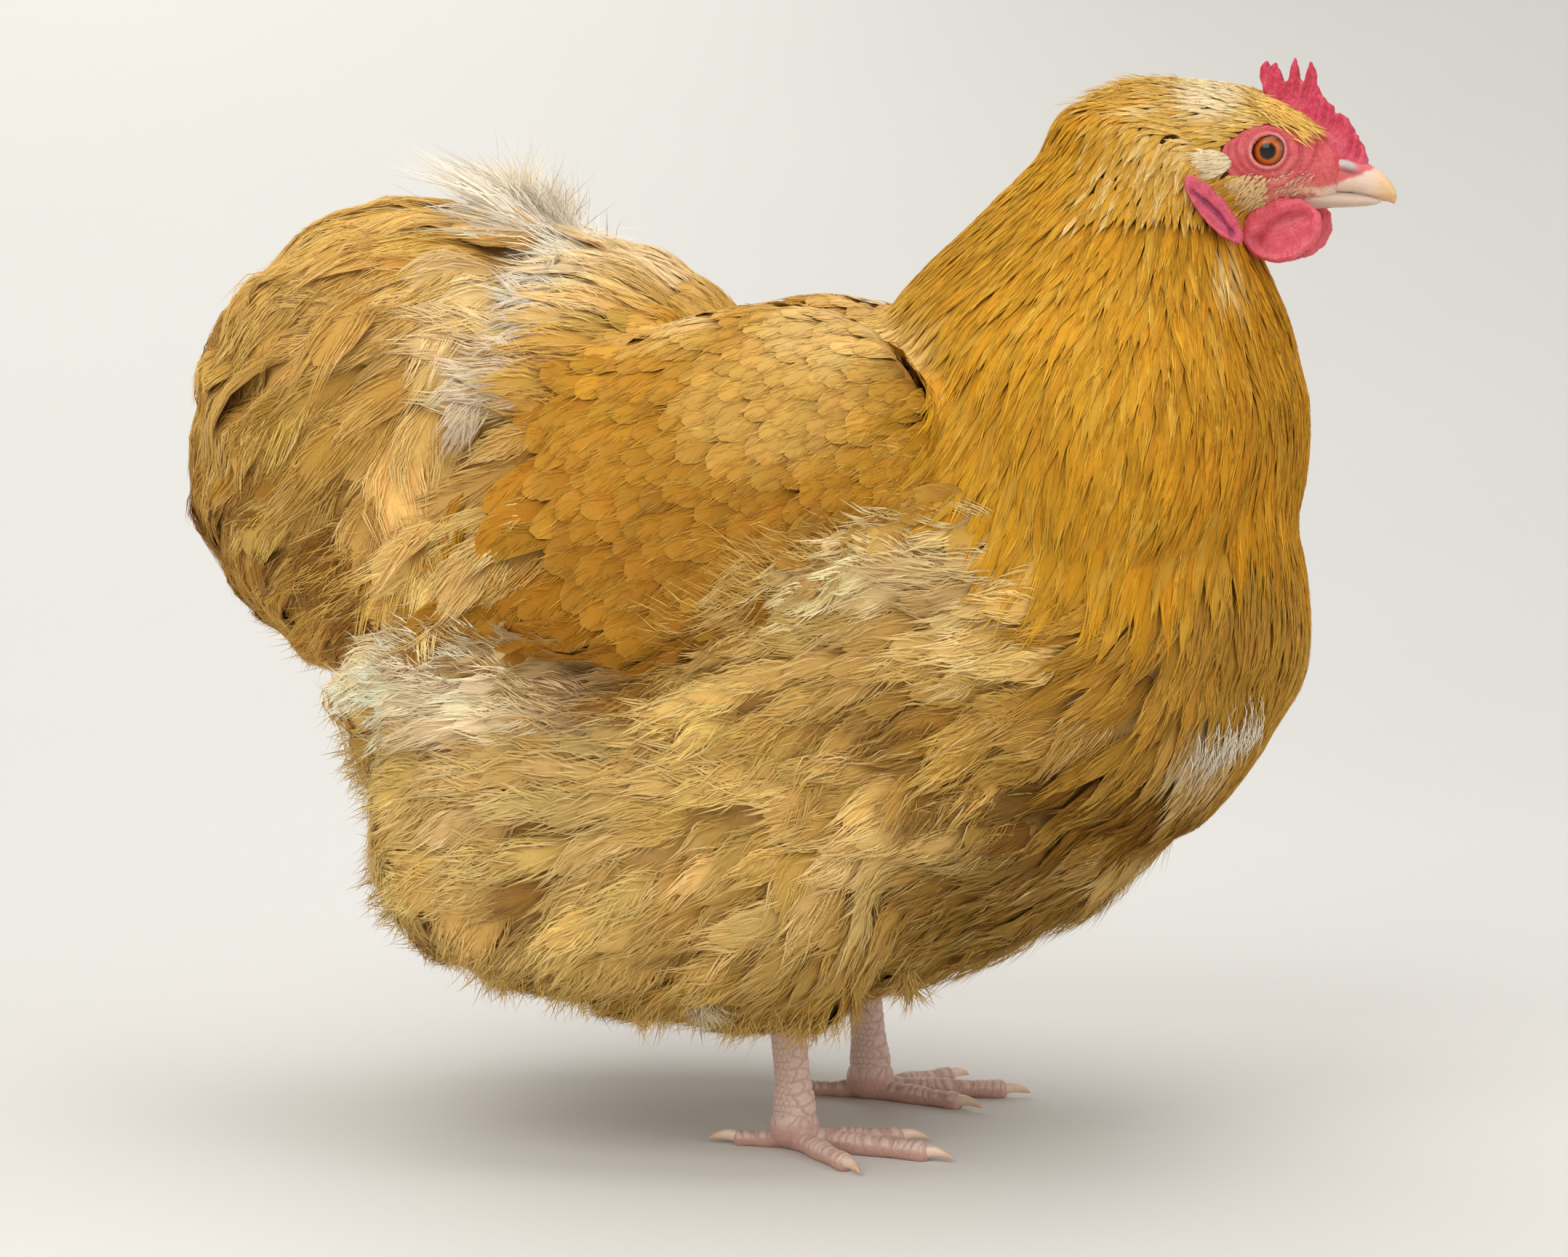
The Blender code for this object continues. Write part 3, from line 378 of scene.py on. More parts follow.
# Spots where the coat differs: forward, height, reach forward, reach up, colour, how much. The dark spots
# low on the breast and low on the fluff are painted shade, the deep gold ones on the wing partly so, and
# the palest, on the thigh's top, is partly painted light
SPOTS = [
    (-83, 343, 15, 16, WHITE_DOWN, 1.0),
    (-67, 314, 13, 20, WHITE_DOWN, 0.9),
    (-84, 279, 19, 17, PINK_CREAM, 0.85),
    (160, 156, 13, 13, WHITE_DOWN, 0.65),
    (44, 300, 30, 17, BACK_PALE, 0.85),
    (-28, 310, 34, 19, SADDLE_PALE, 0.95),
    (158, 374, 12, 8, WHITE_DOWN, 0.7),
    (158, 324, 5, 7, CREAM, 0.6),
    (22, 276, 34, 24, BACK_PALE, 0.5),
    (4, 234, 50, 20, WING_DEEP_AND_SHADE, 0.3),
    (-30, 288, 20, 14, GOLD, 0.5),
    (-50, 262, 26, 26, GOLD, 0.6),
    (-36, 206, 44, 28, WING_DEEP_AND_SHADE, 0.35),
    (-56, 180, 44, 14, WING_DEEP_AND_SHADE, 0.6),
    (-196, 322, 20, 24, BUSTLE_BROWN, 0.75),
    (-196, 214, 26, 34, BUSTLE_BROWN, 0.6),
    (-140, 206, 36, 26, BUSTLE_BROWN, 0.7),
    (52, 166, 44, 16, BREAST, 0.4),
    (-84, 176, 54, 15, FLUFF_PALE_AND_LIT, 0.9),
    (64, 218, 46, 20, FLUFF_PALE, 0.6),
    (10, 60, 60, 22, FLUFF_SHADE, 0.35),
    (100, 90, 40, 22, FLUFF_SHADE, 0.5),
    (130, 134, 38, 17, BREAST_SHADE, 0.85),
    (104, 102, 34, 18, BREAST_SHADE, 0.6),
]
# Patches of white down: forward, height, reach forward, reach up
DOWN_PATCHES = [(-83, 342, 14, 16), (-68, 315, 10, 20), (-84, 279, 14, 12)]
# Bare skin on the head: forward, height, reach forward, reach up, round the eye and round the chin
BARE_RING = (41, 353.5, 19, 12)
BARE_CHIN = (47, 341, 17.5, 12)
# Rings round the eye: how far out, width, height, how far they sway and how many times
EYE_RINGS = [
    (5.8, 0.8, 1.5, 0.0, 0),
    (8.6, 0.7, 0.8, 0.6, 2),
    (10.9, 0.7, 0.6, 0.9, 3),
    (13.4, 0.8, 0.5, 1.2, 2),
]
# The eye's colours from the middle of its pupil outwards: share of EYE_LOOK_REACH, colour
EYE_LOOK_REACH = 8.0
EYE_LOOK = [
    (0.0, (3, 3, 4)), (0.31, (5, 4, 4)), (0.35, (92, 40, 6)), (0.44, (190, 98, 18)), (0.56, (170, 78, 14)),
    (0.66, (120, 52, 14)), (0.74, (84, 36, 18)), (0.82, (60, 28, 20)), (1.0, (120, 80, 74)),
]
# Soft lights: name, place and size in metres, power in watts
LIGHTS = [
    ("key_light", (-0.7, -1.7, 1.7), 1.5, 27),
    ("front_light", (1.7, -1.0, 1.2), 1.4, 12),
    ("top_light", (0.0, 0.2, 2.2), 2.0, 28),
    ("back_light", (-0.9, 1.9, 1.3), 1.6, 14),
]
LIGHTS_AIM = (0, 0, 0.18)
AIR_LIGHT = 0.42

# Stations along a feather, from root to past the tip, and where its body has rings
STATIONS = np.array((0, 0.2, 0.4, 0.6, 0.8, 1.0, 1.2))
VANE_SHARES = np.array((0, 0.25, 0.5, 0.75, 0.92))
# A vertex with this gap grows none
NO_FEATHER = 1e3
# How much of the map one feather covers, how far its normals lean outwards at its edges, and how far it may
# stand off the guide, as a share of a step and in all
PATCH = 0.003
ROUNDING = 0.28
MOST_DROP = 0.14
MOST_HOVER = 2.5
FEATHER_KEYS = ("points", "colour", "vane", "bake", "normal")
# A barb is a spindle of five points: its foot, three round its middle and its tip
SPINDLE_POINTS = 5
SPINDLE = np.array([(4, 1, 3), (4, 3, 2), (4, 2, 1), (0, 3, 1), (0, 2, 3), (0, 1, 2)])
# Rings of a vane: how far aside and how high; then how wide it is along its length
NARROW = [(-1, 0), (0, 1), (1, 0), (0, -0.6)]
WIDE = [(-1, 0), (-0.55, 0.75), (0, 1), (0.55, 0.75), (1, 0), (0, -0.5)]
ROUND_TIP = {"half_at": (0, 0.25, 0.5, 0.75, 0.93), "half": (0.4, 0.85, 1.0, 0.93, 0.6)}
LANCE_TIP = {"half_at": (0, 0.25, 0.5, 0.75, 0.93), "half": (0.6, 1.0, 1.0, 0.68, 0.26)}
SOFT_TIP = {"half_at": (0, 0.25, 0.5, 0.75, 0.93), "half": (0.45, 0.9, 1.0, 0.8, 0.4)}
# What every feather has in common, and what the soft ones have; sizes in millimetres, angles in degrees
PLAIN = {
    "ring": NARROW, "thick": 0.25, "camber": 0.08, "stray": 6, "uneven": 0.5, "curl": 0.4, "belly": 0.2,
    "mottle": 0.035, "vane_shade": 0.97, "tip_tone": 0.15, "edge_tone": 0.1, "root_shade": 0.16,
    "edge": FLUFF_PALE, "pale_feathers": 0.0, "pale_barbs": 0.12,
    "barbs": 24, "barb_reach": 0.34, "barb_out": 0.5, "barb_beyond": 3, "barb_wide": 0.6, "barb_rise": 0.8,
    "barb_tone": 0.05, "vane_share": 1.0, "vane_under": 0.0, "soft": 0.4,
}
FLUFFY = PLAIN | SOFT_TIP | {
    "vane_share": 0.66, "vane_under": 0.8, "barb_wide": 0.52, "barb_reach": 0.36, "barb_tone": 0.03,
    "barb_out": 0.5, "vane_shade": 0.94, "pale_barbs": 0.08, "soft": 0.88, "mottle": 0.02,
}
FLUFF_KINDS = ("flank", "thigh", "belly", "saddle", "bustle")
LOBED_KINDS = (*FLUFF_KINDS, "covert", "secondary", "breast")
SUNK_KINDS = ("thigh", "belly", "bustle")
KINDS = {
    "crown": PLAIN | LANCE_TIP | {
        "gap": 2.15, "length": 9.5, "width": 2.3, "depth": 0.4, "tip": 0.4, "colour": CROWN_GOLD,
        "soft": 0.8, "root_shade": 0.06,
        "thick": 0.2, "curl": 0, "belly": 0, "barbs": 7, "barb_beyond": 2.0, "barb_wide": 0.36,
        "barb_rise": 0.5, "pale_feathers": 0.15, "pale_barbs": 0.25, "barb_reach": 0.5,
    },
    "hackle": PLAIN | LANCE_TIP | {
        "gap": 4.35, "length": 33, "width": 6, "depth": 1.8, "soft": 0.6, "tip": 0.6, "colour": HACKLE_GOLD,
        "curl": 0.2, "barbs": 11, "barb_beyond": 2.4, "barb_wide": 0.55, "barb_rise": 0.5, "stray": 4.5,
        "edge": HACKLE_STREAK, "tip_tone": 0.1, "edge_tone": 0.15, "pale_feathers": 0.12,
        "pale_barbs": 0.22, "barb_reach": 0.45, "barb_tone": 0.07, "mottle": 0.05,
    },
    "breast": FLUFFY | {
        "gap": 6.2, "length": 27, "width": 9, "depth": 2.4, "tip": 0.6, "colour": BREAST, "barbs": 28,
        "vane_share": 0.8, "vane_under": 0.5, "barb_beyond": 3.5, "barb_reach": 0.45, "barb_rise": 0.8,
        "mottle": 0.04, "tip_tone": 0.2, "edge": WING_EDGE, "barb_wide": 0.45, "pale_feathers": 0.1,
    },
    "back": PLAIN | ROUND_TIP | {
        "gap": 6.0, "length": 25, "width": 13, "depth": 2, "tip": 0.6, "colour": WING_GOLD,
        "edge": WING_EDGE, "tip_tone": 0.4, "pale_feathers": 0.25,
    },
    "covert": PLAIN | ROUND_TIP | {
        "gap": 5.6, "length": 23, "width": 11.5, "depth": 3, "tip": 0.6, "colour": WING_GOLD,
        "edge": WING_EDGE, "edge_tone": 0.15, "tip_tone": 0.3, "stray": 5, "barb_beyond": 2.2, "barbs": 26,
        "barb_wide": 0.42, "barb_rise": 0.4, "barb_tone": 0.06, "mottle": 0.045, "root_shade": 0.3,
    },
    "secondary": PLAIN | ROUND_TIP | {
        "gap": 9, "length": 44, "width": 17, "depth": 4.4, "tip": 0.8, "colour": WING_GOLD, "ring": WIDE,
        "edge": WING_EDGE, "edge_tone": 0.2, "tip_tone": 0.2, "stray": 3, "barbs": 76, "barb_reach": 0.22,
        "barb_beyond": 2.0, "barb_rise": 0.4, "barb_wide": 0.42, "barb_tone": 0.06, "mottle": 0.05,
        "root_shade": 0.3,
    },
    "flank": FLUFFY | {
        "gap": 7.8, "length": 30, "width": 16, "depth": 4.5, "tip": 1.2, "colour": FLUFF, "barbs": 52,
        "barb_beyond": 6, "barb_rise": 1.8, "stray": 10, "uneven": 1.3,
    },
    "thigh": FLUFFY | {
        "gap": 8.0, "length": 31, "width": 17, "depth": 5, "tip": 1.6, "colour": FLUFF, "barbs": 56,
        "barb_beyond": 8, "barb_rise": 2.6, "stray": 12, "uneven": 2.2,
    },
    "belly": FLUFFY | {
        "gap": 9, "length": 34, "width": 18, "depth": 5, "tip": 2.5, "colour": FLUFF, "barbs": 36,
        "barb_beyond": 9, "barb_rise": 3.2, "stray": 14, "uneven": 4,
    },
    "saddle": FLUFFY | {
        "gap": 7.0, "length": 34, "width": 14, "depth": 2.4, "tip": 0.8, "colour": BUSTLE_LIGHT,
        "edge": BUSTLE_PALE, "barbs": 52, "barb_beyond": 5, "barb_rise": 1.2, "stray": 7, "uneven": 1.2,
    },
    "bustle": FLUFFY | ROUND_TIP | {
        "gap": 10.8, "length": 50, "width": 26, "depth": 4, "tip": 0.6, "colour": BUSTLE_BUFF, "ring": WIDE,
        "edge": BUSTLE_PALE, "barbs": 98, "barb_reach": 0.5, "barb_out": 0.45, "barb_beyond": 5,
        "vane_under": 0.6, "vane_share": 0.85, "barb_rise": 0.9, "stray": 6, "uneven": 0.8, "thick": 0.35,
        "camber": 0.12, "belly": 0.8, "curl": 1.2, "tip_tone": 0.12, "edge_tone": 0.14, "root_shade": 0.16,
        "soft": 0.75, "barb_wide": 0.46, "barb_tone": 0.05,
    },
    "down": FLUFFY | {
        "gap": 5.4, "length": 21, "width": 9, "depth": 4, "tip": 1.5, "colour": WHITE_DOWN,
        "edge": WHITE_DOWN, "barbs": 50, "barb_beyond": 8, "barb_reach": 0.5, "barb_rise": 2.2,
        "barb_wide": 0.32, "stray": 16, "uneven": 2, "root_shade": 0.03, "barb_tone": 0.02,
    },
}


def linear(colour):
    """The shader's colour for one that is given as it shows on a screen."""
    c = np.asarray(colour, float) / 255
    return np.where(c <= 0.04045, c / 12.92, ((c + 0.055) / 1.055) ** 2.4)


def rgba(colour):
    return (*linear(colour), 1)


def smooth(low, high, value):
    t = np.clip((value - low) / (high - low), 0, 1)
    return t * t * (3 - 2 * t)


def unit(vectors):
    return vectors / np.maximum(np.linalg.norm(vectors, axis=-1, keepdims=True), 1e-9)


def all_over(colour, points):
    """The same colour for each point."""
    return np.tile(np.array(colour, float), (len(points), 1))


def from_oval(forward, height, oval):
    """How far off places are from an oval's middle, 1 on its line: given as middle and reach."""
    return ((forward - oval[0]) / oval[2]) ** 2 + ((height - oval[1]) / oval[3]) ** 2


def wave_noise(points, size, seed):
    """Smooth noise from -1 to 1 over points, with bumps about this size."""
    source = np.random.default_rng(seed)
    total = np.zeros(len(points))
    waves = 9
    for _ in range(waves):
        heading = unit(source.normal(size=3))
        turns = points @ heading * math.tau / (size * source.uniform(0.7, 1.5))
        total += np.sin(turns + source.uniform(0, math.tau))
    return np.clip(total / math.sqrt(waves), -1.6, 1.6) / 1.6


def tilt(degrees, axis):
    return Matrix.Rotation(math.radians(degrees), 4, axis)


def wing_lean(side):
    return tilt(side * WING_TOE_IN_DEG, "Z") @ tilt(side * WING_LEAN_DEG, "X") @ tilt(-WING_SLOPE_DEG, "Y")


HEAD_TURN = Matrix.Translation(HEAD_PIVOT) @ tilt(-HEAD_TURN_DEG, "Z")


def table_shift():
    """Where the solids' frame has the tables' origin: both eyes are whole balls, so their middles tell."""
    found = np.zeros(3)
    for word, side in SIDES:
        points = points_of(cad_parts["eye_" + word])
        told = HEAD_TURN @ Vector((EYE_PLACE[0], side * EYE_PLACE[1], EYE_PLACE[2]))
        found += (points.min(0) + points.max(0)) / 2 - np.array(told) * MM
    found /= len(SIDES)
    return np.array((found[0], found[1], 0))


def points_of(obj):
    co = np.empty(len(obj.data.vertices) * 3)
    obj.data.vertices.foreach_get("co", co)
    return co.reshape(-1, 3)


def set_points(obj, points):
    obj.data.vertices.foreach_set("co", np.asarray(points, float).ravel())
    obj.data.update()


SHIFT = table_shift()


def place_in_frame(obj):
    """Takes a piece that was made in the tables' millimetres to the frame's metres."""
    set_points(obj, points_of(obj) * MM + SHIFT)
    return obj


def only(obj):
    """Selects this object alone."""
    bpy.ops.object.select_all(action="DESELECT")
    obj.select_set(True)
    bpy.context.view_layer.objects.active = obj
    return obj


def finish_modifier(obj, modifier):
    only(obj)
    bpy.ops.object.modifier_apply(modifier=modifier.name)
    return obj


def turned_outward(obj):
    """Turns all the faces the same way, outwards."""
    only(obj)
    bpy.ops.object.mode_set(mode="EDIT")
    bpy.ops.mesh.select_all(action="SELECT")
    bpy.ops.mesh.normals_make_consistent(inside=False)
    bpy.ops.object.mode_set(mode="OBJECT")
    return obj


def remeshed(obj, voxel, rounds):
    """One closed surface of small even faces, softened."""
    remesh = obj.modifiers.new("fuse", "REMESH")
    remesh.mode = "VOXEL"
    remesh.voxel_size = voxel
    finish_modifier(obj, remesh)
    soften = obj.modifiers.new("soften", "SMOOTH")
    soften.factor = 0.5
    soften.iterations = rounds
    return finish_modifier(obj, soften)


def ball(name, around, along):
    """A unit ball. The primitive's edges and faces are in a new order each time, so they are sorted."""
    bpy.ops.object.select_all(action="DESELECT")
    bpy.ops.mesh.primitive_uv_sphere_add(segments=around, ring_count=along, radius=1)
    obj = bpy.context.active_object
    obj.name = name
    bm = bmesh.new()
    bm.from_mesh(obj.data)
    many = len(bm.verts)

    def rank(part):
        first, second, *rest = sorted(corner.index for corner in part.verts)
        return (first * many + second) * many + sum(rest[:1])

    bm.edges.sort(key=rank)
    bm.faces.sort(key=rank)
    bm.to_mesh(obj.data)
    bm.free()
    return obj


def through(rows, t):
    """The rows at each t, from 0 to 1, on a smooth curve through all of them."""
    rows = np.asarray(rows, float)
    place = np.clip(t, 0, 1) * (len(rows) - 1)
    i = np.minimum(place.astype(int), len(rows) - 2)
    s = (place - i)[:, None]
    before, after = rows[np.maximum(i - 1, 0)], rows[np.minimum(i + 2, len(rows) - 1)]
    p1, p2 = rows[i], rows[i + 1]
    before = np.where((i > 0)[:, None], before, p1)
    after = np.where((i + 2 < len(rows))[:, None], after, p2)
    out_slope, in_slope = (p2 - before) / 2, (after - p1) / 2
    return (
        (2 * s**3 - 3 * s**2 + 1) * p1
        + (s**3 - 2 * s**2 + s) * out_slope
        + (3 * s**2 - 2 * s**3) * p2
        + (s**3 - s**2) * in_slope
    )


def loft(name, rows, around=64, along=48, sideways=0.0, squareness=2.0):
    """A closed form whose rings follow the rows, square to the line through their middles."""
    obj = ball(name, around, along)
    co = points_of(obj)
    t = np.arccos(np.clip(co[:, 2], -1, 1)) / math.pi
    turn = np.arctan2(co[:, 1], co[:, 0])
    forward, height, up, down, half = through(rows, t).T
    ahead = unit((through(rows, t + 0.02) - through(rows, t - 0.02))[:, :2])
    on_ring = np.abs(co[:, 2]) < 0.9999

    def squared(value):
        return np.sign(value) * np.abs(value) ** (2 / squareness)

    rise = on_ring * squared(np.sin(turn)) * np.where(np.sin(turn) > 0, up, down)
    out = on_ring * squared(np.cos(turn)) * half
    lift = np.stack((-ahead[:, 1], ahead[:, 0]), 1)
    lift[ahead[:, 0] < -0.5] *= -1
    set_points(obj, np.stack((forward + lift[:, 0] * rise, sideways + out, height + lift[:, 1] * rise), 1))
    return turned_outward(obj)


def egg(name, middle, reach, turn=Matrix.Identity(4), around=64, along=40):
    obj = ball(name, around, along)
    obj.data.transform(Matrix.Translation(middle) @ turn @ Matrix.Diagonal([*reach, 1]))
    return obj


def grown(obj, by):
    """The form, larger all round by this much."""
    if by:
        swell = obj.modifiers.new("swell", "DISPLACE")
        swell.mid_level = 0
        swell.strength = by
        finish_modifier(obj, swell)
    return obj


def body_forms():
    """Every form of the body, grown as the table says, by name."""
    forms = {
        "torso": loft("torso_form", TORSO, squareness=TORSO_SQUARENESS),
        "neck": loft("neck_form", NECK),
        "saddle": egg("saddle_form", *SADDLE),
        "bustle": egg("bustle_form", *BUSTLE),
        "head": loft("head_form", HEAD),
    }
    forms["head"].data.transform(HEAD_TURN)
    for word, side in SIDES:
        middle = (WING[0][0], side * WING[0][1], WING[0][2])
        forms["thigh_" + word] = loft("thigh_form", THIGH, sideways=side * THIGH_OUT)
        forms["wing_" + word] = egg("wing_form", middle, WING[1], wing_lean(side))
    for name, form in forms.items():
        grown(form, COAT_OUT[name.split("_")[0]])
    return forms


def fused(name, forms, voxel, rounds):
    """One closed, softened surface round all the forms."""
    bpy.ops.object.select_all(action="DESELECT")
    for form in forms:
        form.select_set(True)
    bpy.context.view_layer.objects.active = forms[0]
    bpy.ops.object.join()
    obj = bpy.context.active_object
    obj.name = name
    return remeshed(obj, voxel, rounds)


def tree_of(obj):
    bm = bmesh.new()
    bm.from_mesh(obj.data)
    found = BVHTree.FromBMesh(bm)
    bm.free()
    return found


def nearest(tree, points):
    """Nearest places on the surface and its normals there."""
    places, normals = np.empty_like(points), np.empty_like(points)
    for i, point in enumerate(points):
        place, normal, _, _ = tree.find_nearest(Vector(point))
        places[i], normals[i] = place, normal
    return places, normals


def how_far(tree, points):
    return np.array([tree.find_nearest(Vector(point))[3] for point in points])


def in_head(points):
    """Places as forward, left and up in the straight head's own frame."""
    turn = np.array(HEAD_TURN.inverted())
    return points @ turn[:3, :3].T + turn[:3, 3]


# Where each form's feathers point
def neck_flow(p):
    return unit(p - np.array((150, 0, 395)))


def torso_flow(p):
    breast = smooth(100, 165, p[:, 0]) * smooth(105, 150, p[:, 2])
    side = -0.12 - 0.25 * smooth(230, 120, p[:, 2])
    return unit(np.stack((-1 + 0.9 * breast, 0 * breast, side - 0.8 * breast), 1))


def thigh_flow(p):
    steep = np.radians(4 + 62 * smooth(180, 55, p[:, 2]) + 8 * wave_noise(p, 60, 3))
    return np.stack((-np.cos(steep), 0 * steep, -np.sin(steep)), 1)


def wing_flow(p):
    return np.tile(unit(np.array((-0.86, 0, -0.5))), (len(p), 1))


def saddle_flow(p):
    return np.tile(unit(np.array((-1.0, 0, 0.1))), (len(p), 1))


def bustle_flow(p):
    away = unit((p - np.array((-82, 0, 300))) * (1, 0.35, 1))
    return unit(away + np.array((-0.15, 0, -0.75)))


def head_flow(p):
    turn = np.array(HEAD_TURN)[:3, :3]
    return np.tile(turn @ unit(np.array((-1, 0, -0.2))), (len(p), 1))


FLOWS = {
    "torso": torso_flow,
    "neck": neck_flow,
    "thigh": thigh_flow,
    "wing": wing_flow,
    "saddle": saddle_flow,
    "bustle": bustle_flow,
    "head": head_flow,
}
FORM_NAMES = list(FLOWS)


def form_shares(trees, points):
    """How much of each form a place on the coat belongs to, most for the form that it is nearest to."""
    far = np.stack([how_far(trees[name], points) for name in trees], 1)
    near = np.full((len(points), len(FORM_NAMES)), 1e3)
    for column, name in enumerate(trees):
        k = FORM_NAMES.index(name.split("_")[0])
        near[:, k] = np.minimum(near[:, k], far[:, column])
    shares = np.exp(-(near - near.min(1, keepdims=True)) / 1.6)
    return shares / shares.sum(1, keepdims=True)


def lobes_on(tree):
    """The lobes of both sides: for each its root on the body, its three axes, its sizes and its looks."""
    rows = []
    for kind, root, tip, wide, high, bend, colour, much in LOBES:
        for side in (-1, 1) if root[1] else (-1,):
            ends, normals = nearest(tree, np.array((root, tip), float) * (1, -side, 1))
            away = unit(normals.sum(0))
            ahead = ends[1] - ends[0]
            ahead = ahead - away * (ahead @ away)
            long = np.linalg.norm(ahead)
            aside = np.cross(away, ahead / long)
            turn = math.radians(bend) * (-1.0 if aside[2] > 0 else 1.0)
            axes = (ends[0], ahead / long, aside, away)
            rows.append((*axes, long, wide, high * LOBE_RELIEF, turn, colour, much, kind))
    names = ("root", "ahead", "aside", "away", "long", "wide", "high", "turn", "colour", "much", "kind")
    return {name: np.array(column) for name, column in zip(names, zip(*rows))}


def in_lobe_frame(lobes, index, p):
    """Each place's share along its lobe, its distance beside the lobe's line and above the lobe."""
    off = p - lobes["root"][index]
    along = (off * lobes["ahead"][index]).sum(-1) / lobes["long"][index]
    return along, (off * lobes["aside"][index]).sum(-1), (off * lobes["away"][index]).sum(-1)


def lobe_field(lobes, p):
    """How high the lobes stand at each place, which lobe is on top, and how far along it the place is."""
    high, top, share = np.zeros(len(p)), np.zeros(len(p), int), np.zeros(len(p))
    for index in range(len(lobes["long"])):
        along, beside, above = in_lobe_frame(lobes, index, p)
        round_end = np.sqrt(np.clip(1 - (np.clip(along - 0.5, 0, 1) / 0.52) ** 2, 0, 1))
        half = lobes["wide"][index] * (0.55 + 0.45 * smooth(0, 0.45, along)) * round_end
        edge = smooth(0, LOBE_EDGE, half - np.abs(beside)) * smooth(-0.12, 0.05, along)
        edge *= np.abs(above) < LOBE_NEAR
        own = edge * (LOBE_ROOT_HEIGHT + (1 - LOBE_ROOT_HEIGHT) * np.clip(along, 0, 1) ** 0.8)
        own *= lobes["high"][index] * (1 - 0.3 * np.clip(beside / np.maximum(half, 1), -1, 1) ** 2)
        better = own > high
        high, top = np.where(better, own, high), np.where(better, index, top)
        share = np.where(better, along, share)
    return high, top, share


def crease_marks(p):
    """For each crease, how near each place is to its line, from 0 to 1, on the flanks only, with its depth
    and the colour of the painted shade in it.
    """
    flat = p[:, [0, 2]]
    on_side = smooth(25, 45, np.abs(p[:, 1]))
    for line, wide, depth, colour, much in CREASES:
        away = np.full(len(p), 1e3)
        for start, end in zip(np.array(line, float), np.array(line, float)[1:]):
            ahead = end - start
            part = np.clip((flat - start) @ ahead / (ahead @ ahead), 0, 1)
            away = np.minimum(away, np.linalg.norm(flat - start - part[:, None] * ahead, axis=1))
        yield on_side * np.exp(-((away / wide) ** 2)), depth, colour, much


def lumps(p):
    return wave_noise(p, LUMP_WIDE, 7)


def flow_at(points, shares, lobes, top, in_lobe):
    """Which way the feathers head: each form's own way, and that of the lobe that the feather grows in."""
    ways = sum(shares[:, [i]] * unit(FLOWS[name](points)) for i, name in enumerate(FORM_NAMES))
    along, beside, _ = in_lobe_frame(lobes, top, points)
    angle = lobes["turn"][top] * (np.clip(along, 0, 1.1) - 0.4)
    fan = LOBE_FAN * np.clip(beside / lobes["wide"][top], -1, 1) * np.clip(along, 0, 1)
    ahead, aside = lobes["ahead"][top], lobes["aside"][top]
    lean = ahead * np.cos(angle)[:, None] + aside * (np.sin(angle) + fan)[:, None]
    return unit(unit(ways) * (1 - in_lobe[:, None]) + unit(lean) * in_lobe[:, None])


def spread_by_vertex(obj, gaps, tries):
    """Places spread over the surface, none nearer to another than its own gap, and a vertex beside each."""
    mesh = obj.data
    mesh.calc_loop_triangles()
    corners = np.empty(len(mesh.loop_triangles) * 3, np.int32)
    mesh.loop_triangles.foreach_get("vertices", corners)
    corners = corners.reshape(-1, 3)
    a, b, c = np.moveaxis(points_of(obj)[corners], 1, 0)
    area = np.linalg.norm(np.cross(b - a, c - a), axis=1)
    weight = area / np.minimum(gaps[corners[:, 0]], 60) ** 2
    weight[gaps[corners[:, 0]] >= NO_FEATHER] = 0
    pick = chance.choice(len(area), tries, p=weight / weight.sum())
    s, t = chance.random((2, tries, 1))
    over = (s + t) > 1
    s, t = np.where(over, 1 - s, s), np.where(over, 1 - t, t)
    points = a[pick] + s * (b - a)[pick] + t * (c - a)[pick]
    beside = corners[pick, 0]
    gap = gaps[beside]
    cell = gap.max()
    keys = np.floor(points / cell).astype(int)
    grid, kept = {}, []
    around = [(x, y, z) for x in (-1, 0, 1) for y in (-1, 0, 1) for z in (-1, 0, 1)]
    for i in range(tries):
        x, y, z = keys[i]
        near = [j for dx, dy, dz in around for j in grid.get((x + dx, y + dy, z + dz), ())]
        if near and (((points[near] - points[i]) ** 2).sum(1) < gap[i] ** 2).any():
            continue
        grid.setdefault((x, y, z), []).append(i)
        kept.append(i)
    return points[kept], beside[kept]


